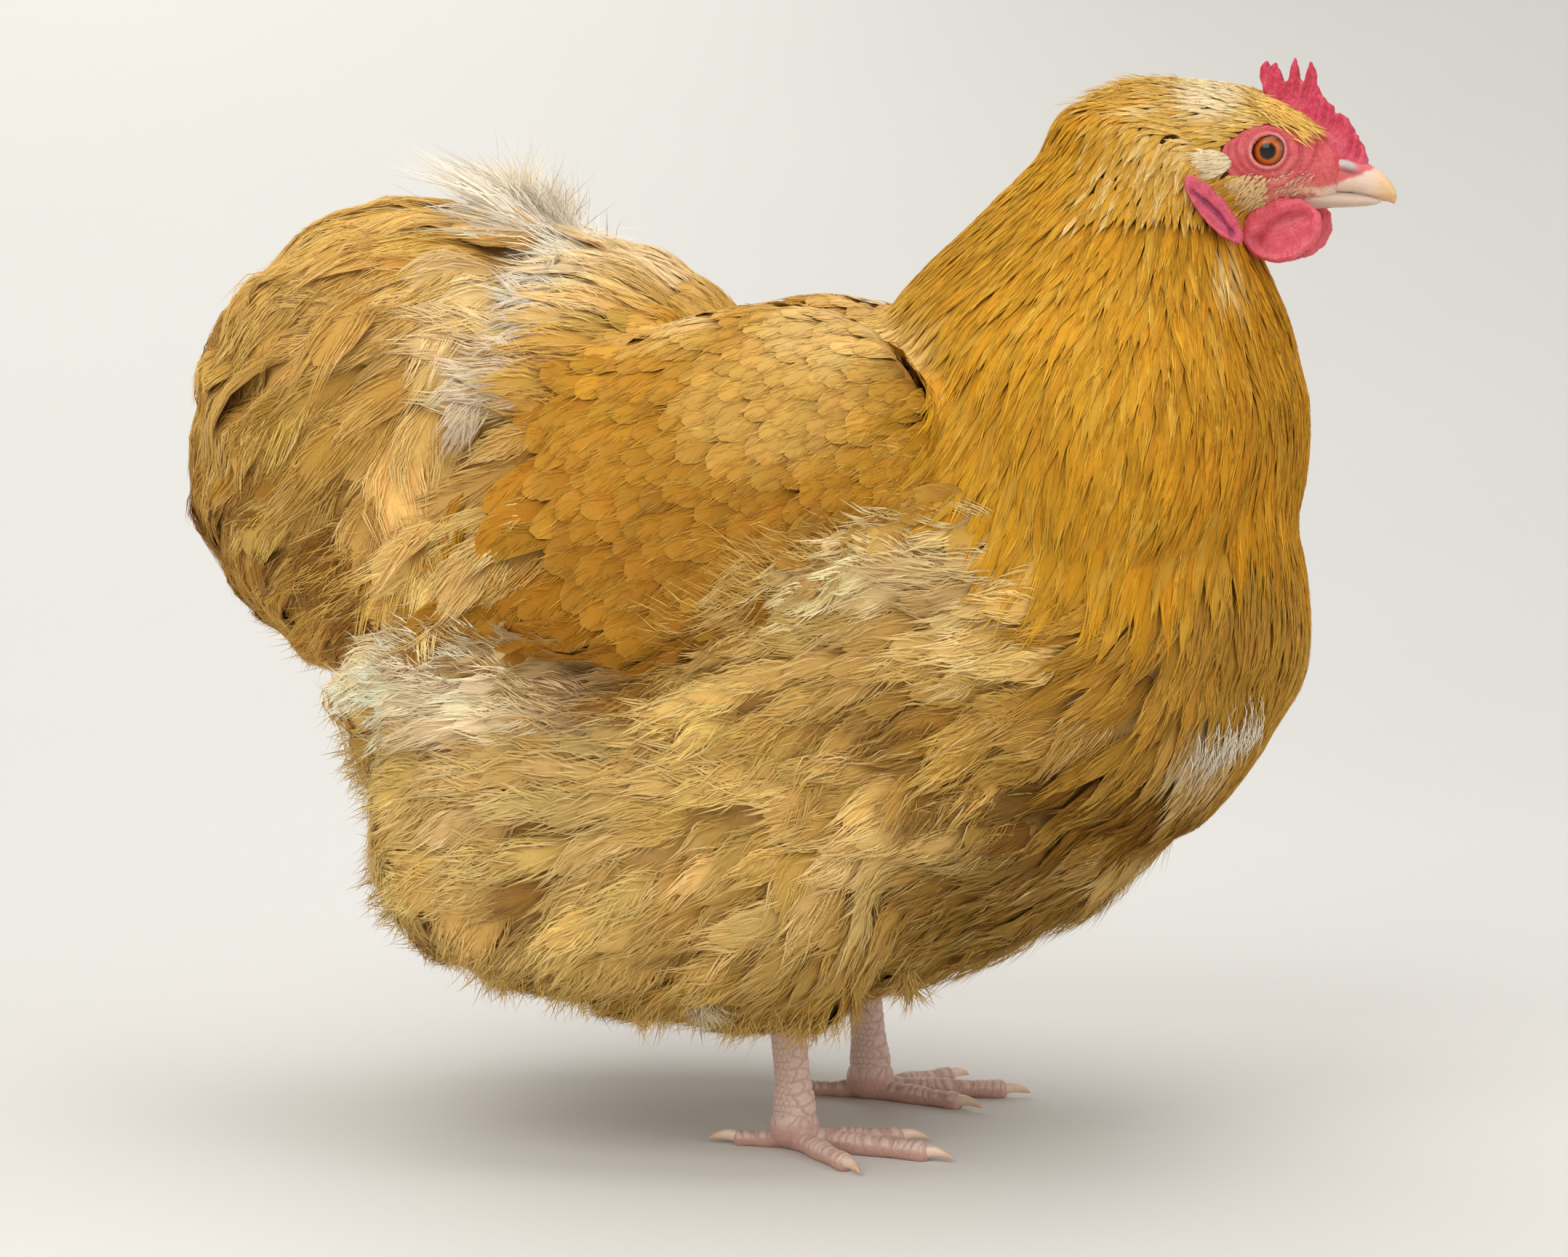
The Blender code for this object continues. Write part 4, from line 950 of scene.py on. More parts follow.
def base_colour(p, kind):
    """The coat's colour at each place, as it shows on a screen."""
    colour = all_over(KINDS[kind]["colour"], p)
    colour *= (1 + 0.05 * wave_noise(p, 46, 21))[:, None]
    if kind == "crown":
        u, _, z = in_head(p).T
        colour = mixed(colour, HACKLE_GOLD, np.clip(smooth(8, -26, u) + smooth(352, 334, z), 0, 0.85))
    if kind in ("thigh", "belly", "flank"):
        pale = smooth(-0.1, 0.9, wave_noise(p, 30, 5)) * 0.4 * smooth(40, 110, p[:, 2])
        colour = mixed(colour, FLUFF_PALE, pale)
        # Painted shade, darker towards the bottom of the body
        colour = mixed(colour, FLUFF_SHADE, 0.6 * smooth(110, 40, p[:, 2]))
    if kind in ("bustle", "saddle"):
        colour = mixed(colour, BUSTLE_PALE, 0.4 * smooth(-0.2, 0.8, wave_noise(p, 38, 9)))
        colour = mixed(colour, BUSTLE_BROWN, 0.6 * smooth(-150, -215, p[:, 0] - 0.4 * (p[:, 2] - 280)))
    if kind == "hackle":
        colour = mixed(colour, HACKLE_DARK, 0.35 * smooth(120, 175, p[:, 0]))
        colour = mixed(colour, HACKLE_STREAK, 0.3 * smooth(0.2, 1, wave_noise(p * (1, 1, 0.25), 9, 14)))
    if kind == "breast":
        # Painted shade on the lower breast
        colour = mixed(colour, BREAST_SHADE, 0.5 * smooth(180, 110, p[:, 2]) * smooth(60, 110, p[:, 0]))
    for *oval, tone, much in SPOTS:
        colour = mixed(colour, tone, much * smooth(1.6, 0.2, from_oval(p[:, 0], p[:, 2], oval)))
    return colour


def lobe_colour(colour, lobes, p):
    """Tints each lobe, with painted shade at its root and in the creases beside it, and painted light
    towards its end.
    """
    high, top, along = lobe_field(lobes, p)
    inside = smooth(0.2, 1.8, high)
    colour = mixed(colour, lobes["colour"][top], lobes["much"][top] * inside)
    light = LOBE_DARK + (LOBE_BRIGHT - LOBE_DARK) * smooth(0.0, 0.85, along)
    return shaded(colour, 1 + (light - 1) * inside)


def shaded(colour, light):
    """A colour made darker or lighter; where darker it is also warmer, as feathers light each other."""
    return colour * np.asarray(light)[..., None] ** SHADE_WARMTH


def mixed(colour, other, share):
    """Some of the other colour, one for all or one each, in each colour."""
    share = np.asarray(share, float).reshape(-1, 1)
    return colour * (1 - share) + np.array(other, float) * share


def march(tree, lobes, roots, shares, length, turn):
    """Where a feather lies along its length: places on the guide, with normals."""
    place, normal = nearest(tree, roots)
    places, normals = [place], [normal]
    high, top, _ = lobe_field(lobes, roots)
    firm = sum(shares[:, FORM_NAMES.index(name)] for name in ("neck", "head", "wing"))
    in_lobe = smooth(0.2, 2.0, high) * (1 - smooth(0.3, 0.6, firm))
    before = 0.0
    for share in STATIONS[1:]:
        ahead = flow_at(place, shares, lobes, top, in_lobe)
        ahead = unit(ahead - normal * (ahead * normal).sum(1, keepdims=True))
        ahead = ahead * np.cos(turn)[:, None] + np.cross(normal, ahead) * np.sin(turn)[:, None]
        step = (length * (share - before))[:, None]
        drop = MOST_DROP * step
        moved = place + ahead * step
        place, new_normal = nearest(tree, moved)
        gap = moved - place
        far = np.linalg.norm(gap, axis=1, keepdims=True)
        over = ((gap * new_normal).sum(1, keepdims=True) > 0) * smooth(drop, 3 * drop, far)
        hover = over * (1 - drop / np.maximum(far, drop))
        place = place + gap * np.minimum(hover, MOST_HOVER / np.maximum(far, 1e-6))
        normal = unit(new_normal * (1 - 0.7 * over) + normal * 0.7 * over)
        before = share
        places.append(place)
        normals.append(normal)
    return np.stack(places, 1), np.stack(normals, 1)


def along_feather(values, shares):
    """Values that are given at the stations of each feather, read at its own shares of the length."""
    k = np.clip(np.searchsorted(STATIONS, shares, side="right") - 1, 0, len(STATIONS) - 2)
    part = ((shares - STATIONS[k]) / (STATIONS[k + 1] - STATIONS[k]))[..., None]
    rows = np.arange(len(values))[:, None]
    return values[rows, k] * (1 - part) + values[rows, k + 1] * part


def vane_bodies(spine, side, up, half, ring, thick, camber):
    """One closed thin body a feather: its points, its triangles, and how far across and along each is."""
    rings = len(VANE_SHARES)
    stations = np.tile(VANE_SHARES, (len(spine), 1))
    line, sides, ups = (along_feather(values, stations) for values in (spine, side, up))
    across, high = np.array(ring).T
    wide = half[:, :rings, None, None] * across[None, None, :, None]
    rise = thick * high[None, None, :] - camber * half[:, :rings, None] * across[None, None, :] ** 2
    points = line[:, :, None] + sides[:, :, None] * wide + ups[:, :, None] * rise[..., None]
    tip = along_feather(spine, np.ones((len(spine), 1)))
    m = len(ring)
    points = np.concatenate((points.reshape(len(spine), -1, 3), tip), 1)
    triangles = []
    for j in range(rings - 1):
        for i in range(m):
            a, b = j * m + i, j * m + (i + 1) % m
            triangles += [(a, b + m, b), (a, a + m, b + m)]
    last = (rings - 1) * m
    triangles += [(last + i, last + m, last + (i + 1) % m) for i in range(m)]
    triangles += [(0, i, i + 1) for i in range(1, m - 1)]
    return (
        points,
        np.array(triangles),
        np.append(np.tile(across, rings), 0.0),
        np.append(np.repeat(VANE_SHARES, m), 1.0),
    )


def spindles(foot, middle, end, aside, up, wide, high):
    """The five points of each barb."""
    sides = (middle + aside * wide / 2, middle - aside * wide / 2, middle + up * wide * high)
    return np.stack((foot, *sides, end), -2)


def for_each(faces, count, points):
    """The faces of one body again for each of many, with this many points each."""
    return (faces[None] + points * np.arange(count)[:, None, None]).reshape(-1, 3)


def barb_bodies(spine, side, up, width, look):
    """Barbs that lie over each feather, out and forward to its edge and past it: spindles of six faces."""
    n, count = len(spine), look["barbs"]
    start = np.linspace(0.0, 0.86, count) + chance.uniform(-1, 1, (n, count)) * 0.6 / count
    start = np.clip(start, 0.0, 0.9)
    stop = np.minimum(start + look["barb_reach"] * chance.uniform(0.6, 1.3, (n, count)), STATIONS[-1])
    middle = start + (stop - start) * 0.45
    sign = np.where(chance.random((n, count)) < 0.5, -1.0, 1.0)
    inner = chance.uniform(0.0, 0.75, (n, count))
    outer = np.minimum(inner + look["barb_out"] * chance.uniform(0.4, 1.2, (n, count)), 1.0)
    bend = inner + (outer - inner) * 0.6

    def place(shares, across):
        half = np.interp(np.minimum(shares, 0.96), look["half_at"], look["half"]) * width[:, None]
        sunk = look["camber"] * half * across**2
        aside = along_feather(side, shares) * (sign * across * half)[..., None]
        return along_feather(spine, shares) + aside - along_feather(up, shares) * sunk[..., None]

    away = look["barb_beyond"] * chance.random((n, count)) ** 2
    lift = look["barb_rise"] * chance.random((n, count)) ** 2
    raised = along_feather(up, middle)
    leftward = along_feather(side, middle)
    foot = place(start, inner) + raised * look["thick"] * 0.5
    bent = place(middle, bend) + raised * (look["thick"] + 0.25 * lift)[..., None]
    end = place(stop, outer) + raised * (look["thick"] * 0.6 + lift)[..., None]
    ahead = unit(end - foot)
    end = end + ahead * away[..., None]
    wide = look["barb_wide"] * chance.uniform(0.7, 1.2, (n, count, 1))
    points = spindles(foot, bent, end, leftward, raised, wide, 0.4)
    faces = for_each(SPINDLE, count, SPINDLE_POINTS)
    across = np.stack((inner, bend, bend, bend, outer), 2) * sign[..., None]
    share = np.stack((start, middle, middle, middle, np.minimum(stop, 1.0)), 2)
    tone = np.repeat(1 + chance.normal(0, look["barb_tone"], (n, count)), SPINDLE_POINTS, 1)
    pale = np.repeat(chance.random((n, count)) < look["pale_barbs"], SPINDLE_POINTS, 1)
    return points.reshape(n, -1, 3), faces, across.reshape(n, -1), share.reshape(n, -1), tone, pale


def feather_lines(look, tree, lobes, roots, shares, sizes):
    """Each feather's line with its sides, its upward ways, the guide's normals, and its size and length."""
    n = len(roots)
    size = sizes * chance.uniform(0.86, 1.14, n)
    length = look["length"] * size
    turn = np.radians(chance.normal(0, look["stray"], n))
    places, normals = march(tree, lobes, roots, shares, length, turn)
    depth = look["depth"] * chance.uniform(0.85, 1.15, n)
    tip = look["tip"] + chance.uniform(-0.5, 0.5, n) * look["uneven"]
    share = np.minimum(STATIONS, 1.0)
    lift = -depth[:, None] + (depth + tip)[:, None] * (1 - (1 - share) ** 1.7)
    lift -= look["curl"] * share**4 * size[:, None]
    lift += look["belly"] * np.sin(math.pi * share) * size[:, None]
    spine = places + normals * lift[..., None]
    heading = unit(np.gradient(spine, axis=1))
    side = unit(np.cross(normals, heading))
    return spine, side, unit(np.cross(heading, side)), normals, size, length


def feather_colours(kind, lobes, roots, across, along, tone, pale):
    """The colour at each point of each feather, by its place on the hen and on the feather."""
    look, n = KINDS[kind], len(roots)
    colour = base_colour(roots, kind)
    if kind in FLUFF_KINDS:
        colour = lobe_colour(colour, lobes, roots)
        # Painted light on the tops of the lumps and painted shade in their hollows
        colour = shaded(colour, 1 + LUMP_SHADING * lumps(roots))
    # Painted shade in the creases, on all but the down
    if kind != "down":
        for near, _, crease_shade, much in crease_marks(roots):
            colour = mixed(colour, crease_shade, near * much)
    colour *= (1 + chance.normal(0, look["mottle"], (n, 1))) * (1 + chance.normal(0, 0.01, (n, 3)))
    whole = (chance.random((n, 1)) < look["pale_feathers"]) * 0.45
    lighter = look["tip_tone"] * smooth(0.5, 1.0, along)
    lighter = lighter + look["edge_tone"] * smooth(0.55, 1, np.abs(across))
    lighter = np.clip(lighter + whole + pale * 0.5, 0, 0.85)
    # Painted shade at each feather's root, where it lies under the feathers over it
    darker = look["root_shade"] * smooth(0.6, 0.0, along)
    colour = shaded(colour[:, None], (1 - darker) * tone)
    return colour + (np.array(look["edge"], float) * tone[..., None] - colour) * lighter[..., None]


def lay_coat(kind, tree, lobes, roots, shares, sizes, unwrap):
    """All the feathers of one kind, as arrays for a mesh."""
    look, n = KINDS[kind], len(roots)
    spine, side, up, normals, size, length = feather_lines(look, tree, lobes, roots, shares, sizes)
    width = look["width"] / 2 * size
    half = np.interp(VANE_SHARES, look["half_at"], look["half"]) * width[:, None] * look["vane_share"]
    vane, vane_faces, across, along = vane_bodies(
        spine - up * look["vane_under"], side, up, half, look["ring"], look["thick"], look["camber"]
    )
    barb, barb_faces, barb_across, barb_along, tone, pale = barb_bodies(spine, side, up, width, look)
    points = np.concatenate((vane, barb), 1)
    faces = np.concatenate((vane_faces, barb_faces + vane.shape[1]))
    across = np.concatenate((np.tile(across, (n, 1)), barb_across), 1)
    along = np.concatenate((np.tile(along, (n, 1)), barb_along), 1)
    # The vane, under its barbs, is darkened a little as painted shade
    tone = np.concatenate((np.full(vane.shape[:2], look["vane_shade"]), tone), 1)
    pale = np.concatenate((np.zeros(vane.shape[:2], bool), pale), 1)
    colour = feather_colours(kind, lobes, roots, across, along, tone, pale)
    bake = unwrap(roots)[:, None] + PATCH * np.stack((across / 2, along - 0.5), 2)
    seed = np.tile(chance.random((n, 1)) * 50, across.shape[1:])
    vane_place = np.stack((across * width[:, None], along * length[:, None], seed), 2)
    lean = normals * look["soft"] + up * (1 - look["soft"])
    ups = along_feather(lean, along) + along_feather(side, along) * (across * ROUNDING)[..., None]
    return {
        "points": points.reshape(-1, 3),
        "faces": for_each(faces, n, points.shape[1]),
        "colour": colour.reshape(-1, 3),
        "vane": vane_place.reshape(-1, 3),
        "bake": bake.reshape(-1, 2),
        "normal": unit(ups).reshape(-1, 3),
    }


def gather(batches):
    """Several batches of feathers as one."""
    start, faces = 0, []
    for batch in batches:
        faces.append(batch["faces"] + start)
        start += len(batch["points"])
    joined = {key: np.concatenate([b[key] for b in batches]) for key in FEATHER_KEYS}
    return joined | {"faces": np.concatenate(faces)}


def mesh_of(name, points, faces):
    mesh = bpy.data.meshes.new(name)
    mesh.vertices.add(len(points))
    mesh.vertices.foreach_set("co", np.asarray(points, np.float32).ravel())
    mesh.loops.add(faces.size)
    mesh.loops.foreach_set("vertex_index", faces.astype(np.int32).ravel())
    mesh.polygons.add(len(faces))
    mesh.polygons.foreach_set("loop_start", np.arange(0, faces.size, faces.shape[1], dtype=np.int32))
    mesh.update(calc_edges=True)
    mesh.shade_smooth()
    return mesh


def give_colour(mesh, colour):
    """Keeps a colour at each point, for the material to read."""
    kept = mesh.color_attributes.new("coat", "FLOAT_COLOR", "POINT")
    values = np.ones((len(colour), 4), np.float32)
    values[:, :3] = linear(np.clip(colour, 0, 255))
    kept.data.foreach_set("color", values.ravel())


def corner_normals(points, faces, normals):
    """Each corner's normal: the feather's own, turned over on its underside."""
    a, b, c = np.moveaxis(points[faces], 1, 0)
    flat = np.cross(b - a, c - a)
    corners = normals[faces]
    under = (corners * flat[:, None]).sum(2, keepdims=True) < 0
    return np.where(under, -corners, corners).reshape(-1, 3)


def coat_piece(name, batch, material):
    """One mesh of many feathers, in its place."""
    mesh = mesh_of(name, batch["points"] * MM + SHIFT, batch["faces"])
    give_colour(mesh, batch["colour"])
    vane = mesh.attributes.new("vane", "FLOAT_VECTOR", "POINT")
    vane.data.foreach_set("vector", batch["vane"].astype(np.float32).ravel())
    layer = mesh.uv_layers.new(name="OFBake")
    corners = np.asarray(batch["bake"], np.float32)[batch["faces"].ravel()]
    layer.data.foreach_set("uv", corners.ravel())
    obj = bpy.data.objects.new(name, mesh)
    bpy.context.scene.collection.objects.link(obj)
    mesh.normals_split_custom_set(corner_normals(batch["points"], batch["faces"], batch["normal"]))
    mesh.materials.append(material)
    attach(obj, "root")
    return obj


def kind_of_place(p, normals, shares):
    """The name of the feathers that grow at each place on the guide, or nothing on bare skin."""
    main = np.array(FORM_NAMES)[shares.argmax(1)]
    kinds = np.full(len(p), "belly", dtype="<U10")
    x, _, z = p.T
    kinds[main == "neck"] = "hackle"
    for name in ("thigh", "saddle", "bustle"):
        kinds[main == name] = name
    torso = main == "torso"
    kinds[torso & (np.abs(normals[:, 1]) > 0.45)] = "flank"
    kinds[torso & (x > 118) & (z > 118)] = "breast"
    kinds[torso & (z > 236)] = "back"
    wing = main == "wing"
    low = z < np.interp(x, *np.array(WING_LOW_EDGE).T)
    kinds[wing] = "covert"
    kinds[wing & (x + 0.55 * (z - 240) < -52)] = "secondary"
    kinds[wing & low] = "thigh"
    kinds[wing & low & (x > -20)] = "flank"
    face = in_head(p)
    kinds[main == "head"] = "crown"
    kinds[(face[:, 0] > -22) & (z > 335) & (main == "neck")] = "crown"
    rump = np.isin(main, ("bustle", "saddle", "wing", "torso"))
    for oval in DOWN_PATCHES:
        kinds[rump & (from_oval(x, z, oval) < 1)] = "down"
    kinds[bare_face(face) > 0.5] = ""
    return kinds


def bare_face(face):
    """Near 1 where the face is bare skin, from places in the head's own frame."""
    u, _, z = face.T
    ring, chin = from_oval(u, z, BARE_RING), from_oval(u, z, BARE_CHIN)
    beak = smooth(49, 53, u) * smooth(368, 364, z) * smooth(326, 330, z)
    return np.maximum(np.maximum(smooth(1.12, 0.95, ring), smooth(1.1, 0.95, chin)), beak)


def size_here(kind, p):
    """How long and wide a feather is there, for its kind."""
    x, _, z = p.T
    if kind == "hackle":
        return np.interp(z, (215, 250, 300, 335, 365), (1.05, 1.05, 0.9, 0.62, 0.45))
    if kind == "crown":
        return np.interp(in_head(p)[:, 0], (-30, 0, 30, 55), (1.35, 1.0, 0.75, 0.6))
    if kind == "covert":
        return np.interp(-x - 0.5 * (z - 240), (-50, 50), (0.8, 1.15))
    if kind in ("thigh", "belly"):
        return np.interp(z, (50, 120, 180), (0.95, 1.05, 0.85))
    if kind == "bustle":
        return np.interp(x, (-215, -170, -80), (0.9, 1.0, 0.85)) * np.interp(z, (185, 230), (0.6, 1.0))
    return np.ones(len(p))


def inset(share):
    """A share of the map's width, a little in from its edges."""
    return share * 0.96 + 0.02


def turn_share(first, second):
    return inset(np.arctan2(first, second) / math.tau + 0.5)


def round_the_body(p):
    """An unwrap of the body: its length one way, and round it the other."""
    return np.stack((turn_share(p[:, 1], p[:, 2] - 190), (p[:, 0] + 235) / 470), 1)


def round_the_neck(p):
    """An unwrap of the neck: its height one way, and round it the other."""
    return np.stack((turn_share(p[:, 1], p[:, 0] - 118), (p[:, 2] - 180) / 225), 1)


def round_the_tail(p):
    """An unwrap of the bustle as a ball, with its poles left and right."""
    away = unit(p - np.array(BUSTLE[0]))
    pole = inset(np.arccos(np.clip(away[:, 1], -1, 1)) / math.pi)
    return np.stack((turn_share(away[:, 2], -away[:, 0]), pole), 1)


# Pieces of the coat: name, kinds of feather, unwrap and slot
PIECES = [
    ("coat_hackle", ("hackle",), round_the_neck, "gold_hackle"),
    ("coat_head", ("crown",), round_the_neck, "gold_hackle"),
    ("coat_breast", ("breast", "back"), round_the_body, "buff_feather"),
    ("coat_wing", ("covert", "secondary"), round_the_body, "buff_feather"),
    ("coat_flank", ("flank", "belly"), round_the_body, "buff_feather"),
    ("coat_thigh", ("thigh",), round_the_body, "pale_fluff"),
    ("coat_saddle", ("saddle", "down"), round_the_tail, "pale_fluff"),
    ("coat_bustle", ("bustle",), round_the_tail, "pale_fluff"),
]
# These are made as a right and a left half
SPLIT_BY_SIDE = ("coat_hackle", "coat_wing", "coat_flank", "coat_thigh", "coat_saddle", "coat_bustle")


def new_material(name):
    """A material with its nodes, its links and its main shader."""
    material = bpy.data.materials.new(name)
    material.use_nodes = True
    tree = material.node_tree
    return material, tree.nodes, tree.links, tree.nodes["Principled BSDF"]


def node(nodes, kind, **settings):
    made = nodes.new(kind)
    for key, value in settings.items():
        setattr(made, key, value)
    return made


def set_inputs(made, **values):
    """Sets a node's inputs, which are named here with small letters and an underscore for a space."""
    names = {socket.name.lower().replace(" ", "_"): socket for socket in reversed(made.inputs)}
    for name, value in values.items():
        names[name].default_value = value


def math_node(nodes, links, operation, first, second=None):
    made = node(nodes, "ShaderNodeMath", operation=operation)
    for socket, value in zip(made.inputs, (first, second)):
        if isinstance(value, (int, float)):
            socket.default_value = value
        elif value is not None:
            links.new(value, socket)
    return made.outputs[0]


def noise_node(nodes, links, place, **values):
    """Fine noise over a place, as a height."""
    made = node(nodes, "ShaderNodeTexNoise")
    set_inputs(made, **values)
    links.new(place, made.inputs["Vector"])
    return made.outputs[0]


def colour_by_height(nodes, links, shader, height, span, light, bump, distance):
    """The mesh's own colour, lighter where the height is more, with the height as a bump."""
    tone = node(nodes, "ShaderNodeAttribute", attribute_name="coat")
    shade = node(nodes, "ShaderNodeMapRange")
    set_inputs(shade, from_min=span[0], from_max=span[1], to_min=light[0], to_max=light[1])
    links.new(height, shade.inputs["Value"])
    tint = node(nodes, "ShaderNodeVectorMath", operation="SCALE")
    links.new(tone.outputs["Color"], tint.inputs[0])
    links.new(shade.outputs[0], tint.inputs["Scale"])
    links.new(tint.outputs[0], shader.inputs["Base Color"])
    raised = node(nodes, "ShaderNodeBump")
    set_inputs(raised, strength=bump, distance=distance)
    links.new(height, raised.inputs["Height"])
    links.new(raised.outputs[0], shader.inputs["Normal"])


def feather_material(name, roughness, sheen, streak, bump):
    """Barbs run out and forward from each feather's shaft, as fine streaks in colour and height."""
    material, nodes, links, shader = new_material(name)
    set_inputs(shader, roughness=roughness, specular_ior_level=0.12)
    set_inputs(shader, sheen_weight=sheen, sheen_roughness=0.5)
    vane = node(nodes, "ShaderNodeAttribute", attribute_name="vane")
    split = node(nodes, "ShaderNodeSeparateXYZ")
    links.new(vane.outputs["Vector"], split.inputs[0])
    aside = math_node(nodes, links, "ABSOLUTE", split.outputs["X"])
    back = math_node(nodes, links, "MULTIPLY", aside, -1.25)
    barb = math_node(nodes, links, "ADD", split.outputs["Y"], back)
    seat = node(nodes, "ShaderNodeCombineXYZ")
    links.new(math_node(nodes, links, "MULTIPLY", split.outputs["X"], 0.12), seat.inputs[0])
    links.new(barb, seat.inputs[1])
    links.new(split.outputs["Z"], seat.inputs[2])
    height = noise_node(nodes, links, seat.outputs[0], scale=1.1, detail=4, roughness=0.62)
    light = (1 - streak, 1 + streak * 0.6)
    colour_by_height(nodes, links, shader, height, (0.32, 0.68), light, bump, 0.0004)
    return material


def skin_material(name, roughness, grain, bump, depth, blend, coat=0.0, spots=0.0):
    """A coloured skin or horn with a fine grain, in the piece's own frame."""
    material, nodes, links, shader = new_material(name)
    set_inputs(shader, roughness=roughness, specular_ior_level=0.4, coat_weight=coat, coat_roughness=0.2)
    set_inputs(shader, subsurface_weight=blend, subsurface_scale=0.0018)
    set_inputs(shader, subsurface_radius=(1.0, 0.35, 0.25))
    place = node(nodes, "ShaderNodeTexCoord").outputs["Object"]
    cells = node(nodes, "ShaderNodeTexVoronoi", feature="F1")
    set_inputs(cells, scale=grain, randomness=0.9)
    links.new(place, cells.inputs["Vector"])
    cloud = noise_node(nodes, links, place, scale=grain * 0.3, detail=5)
    height = math_node(nodes, links, "SUBTRACT", cloud, cells.outputs["Distance"])
    light = (1 - spots, 1 + spots * 0.5)
    colour_by_height(nodes, links, shader, height, (-0.35, 0.5), light, bump, depth)
    return material


def eye_material():
    """Black pupil, amber iris with fine rays and a dark rim, under a wet clear coat."""
    material, nodes, links, shader = new_material("wet_eye")
    set_inputs(shader, roughness=0.3, specular_ior_level=0.15, coat_weight=0.5, coat_roughness=0.02)
    away = node(nodes, "ShaderNodeAttribute", attribute_name="from_pupil")
    place = node(nodes, "ShaderNodeTexCoord").outputs["Object"]
    rays = noise_node(nodes, links, place, scale=1400, detail=3)
    shift = math_node(nodes, links, "MULTIPLY", math_node(nodes, links, "SUBTRACT", rays, 0.5), 0.9)
    rim = math_node(nodes, links, "ADD", away.outputs["Fac"], shift)
    share = math_node(nodes, links, "DIVIDE", rim, EYE_LOOK_REACH)
    ramp = node(nodes, "ShaderNodeValToRGB")
    for stop, _ in EYE_LOOK[1:-1]:
        ramp.color_ramp.elements.new(stop)
    for element, (stop, colour) in zip(ramp.color_ramp.elements, EYE_LOOK):
        element.position = stop
        element.color = rgba(colour)
    links.new(share, ramp.inputs[0])
    links.new(ramp.outputs[0], shader.inputs["Base Color"])
    return material


def plain_material(name, colour, roughness, grain):
    """A plain painted surface with a faint cloud in it."""
    material, nodes, links, shader = new_material(name)
    set_inputs(shader, roughness=roughness)
    cloud = noise_node(nodes, links, node(nodes, "ShaderNodeTexCoord").outputs["Object"], scale=grain)
    ramp = node(nodes, "ShaderNodeValToRGB")
    ramp.color_ramp.elements[0].color = rgba([c * 0.985 for c in colour])
    ramp.color_ramp.elements[1].color = rgba(colour)
    links.new(cloud, ramp.inputs[0])
    links.new(ramp.outputs[0], shader.inputs["Base Color"])
    return material


def finished(obj, name, colour, material, slot, *nodes_replaced):
    """Gives a piece in the frame its name, colours, material and body; its slot is not used."""
    obj.name = name
    obj.data.name = name
    if colour is not None:
        give_colour(obj.data, colour)
    obj.data.materials.clear()
    obj.data.materials.append(material)
    obj.data.shade_smooth()
    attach(obj, "root")
    if nodes_replaced:
        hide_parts(*nodes_replaced)
    return obj


def to_head(obj):
    """Turns a piece that was made on the straight head as the head is turned, and takes it to the frame."""
    obj.data.transform(HEAD_TURN)
    return place_in_frame(obj)


def vertex_normals(obj):
    found = np.empty(len(obj.data.vertices) * 3)
    obj.data.vertex_normals.foreach_get("vector", found)
    return found.reshape(-1, 3)


def above_mouth(u, z):
    """How high a place on the head is over the line where flesh meets the beak's horn."""
    return z - 341.1 - (u - 52.5) * 0.42


def face_skin(material):
    """The head's skin: sockets, lids, wrinkled rings round the eyes and loose cheeks."""
    obj = loft("face", HEAD, 200, 170)
    co, normals = points_of(obj), vertex_normals(obj)
    u, v, z = co.T
    bare = bare_face(co)
    cheek = smooth(349, 344, z) * smooth(58, 50, u)
    push = (0.25 + 0.25 * cheek) * wave_noise(co, 4, 31) + (0.14 + 0.2 * cheek) * wave_noise(co, 1.7, 32)
    away = np.hypot(u - EYE_PLACE[0], z - EYE_PLACE[2])
    angle = np.arctan2(z - EYE_PLACE[2], u - EYE_PLACE[0])
    on_side = smooth(6, 10, np.abs(v))
    groove = np.zeros(len(co))
    for far, wide, high, sway, turns in EYE_RINGS:
        line = far + sway * np.sin(turns * angle + far)
        push += on_side * high * np.exp(-(((away - line) / wide) ** 2))
        groove = np.maximum(groove, np.exp(-(((away - line - 1.3) / 0.5) ** 2)))
    push -= on_side * 5.5 * smooth(5.2, 4.5, away)
    push -= 2.6 * smooth(0.7, 0.2, bare)
    set_points(obj, co + normals * push[:, None])
    cloud = wave_noise(co, 9, 33) * 0.5 + 0.5
    colour = mixed(all_over(FACE_RED, co), FACE_PALE, 0.5 * cloud)
    colour = mixed(colour, FACE_PALE, 0.35 * smooth(0.2, 0.8, wave_noise(co, 2.2, 34)))
    # Painted shade in the grooves outside the rings round the eye
    colour = mixed(colour, FLESH_SHADE, 0.4 * groove * on_side)
    colour = mixed(colour, CHEEK_PINK, 0.75 * smooth(348, 340, z))
    colour = mixed(colour, LID_PALE, 0.75 * on_side * np.exp(-(((away - 5.6) / 0.65) ** 2)))
    gape = np.exp(-(((z - 342.4 + 0.12 * (u - 48)) / 1.3) ** 2)) * smooth(42, 50, u)
    colour = mixed(colour, CREAM, 0.7 * gape)
    horny = smooth(0.9, -0.9, above_mouth(u, z)) * smooth(50, 56, u) * smooth(336, 338.5, z)
    colour = mixed(colour, HORN_PINK, 0.85 * horny)
    colour = mixed(colour, SKIN_BUFF, smooth(0.6, 0.3, bare))
    return finished(to_head(obj), "face_skin", colour, material, "red_skin", "head")


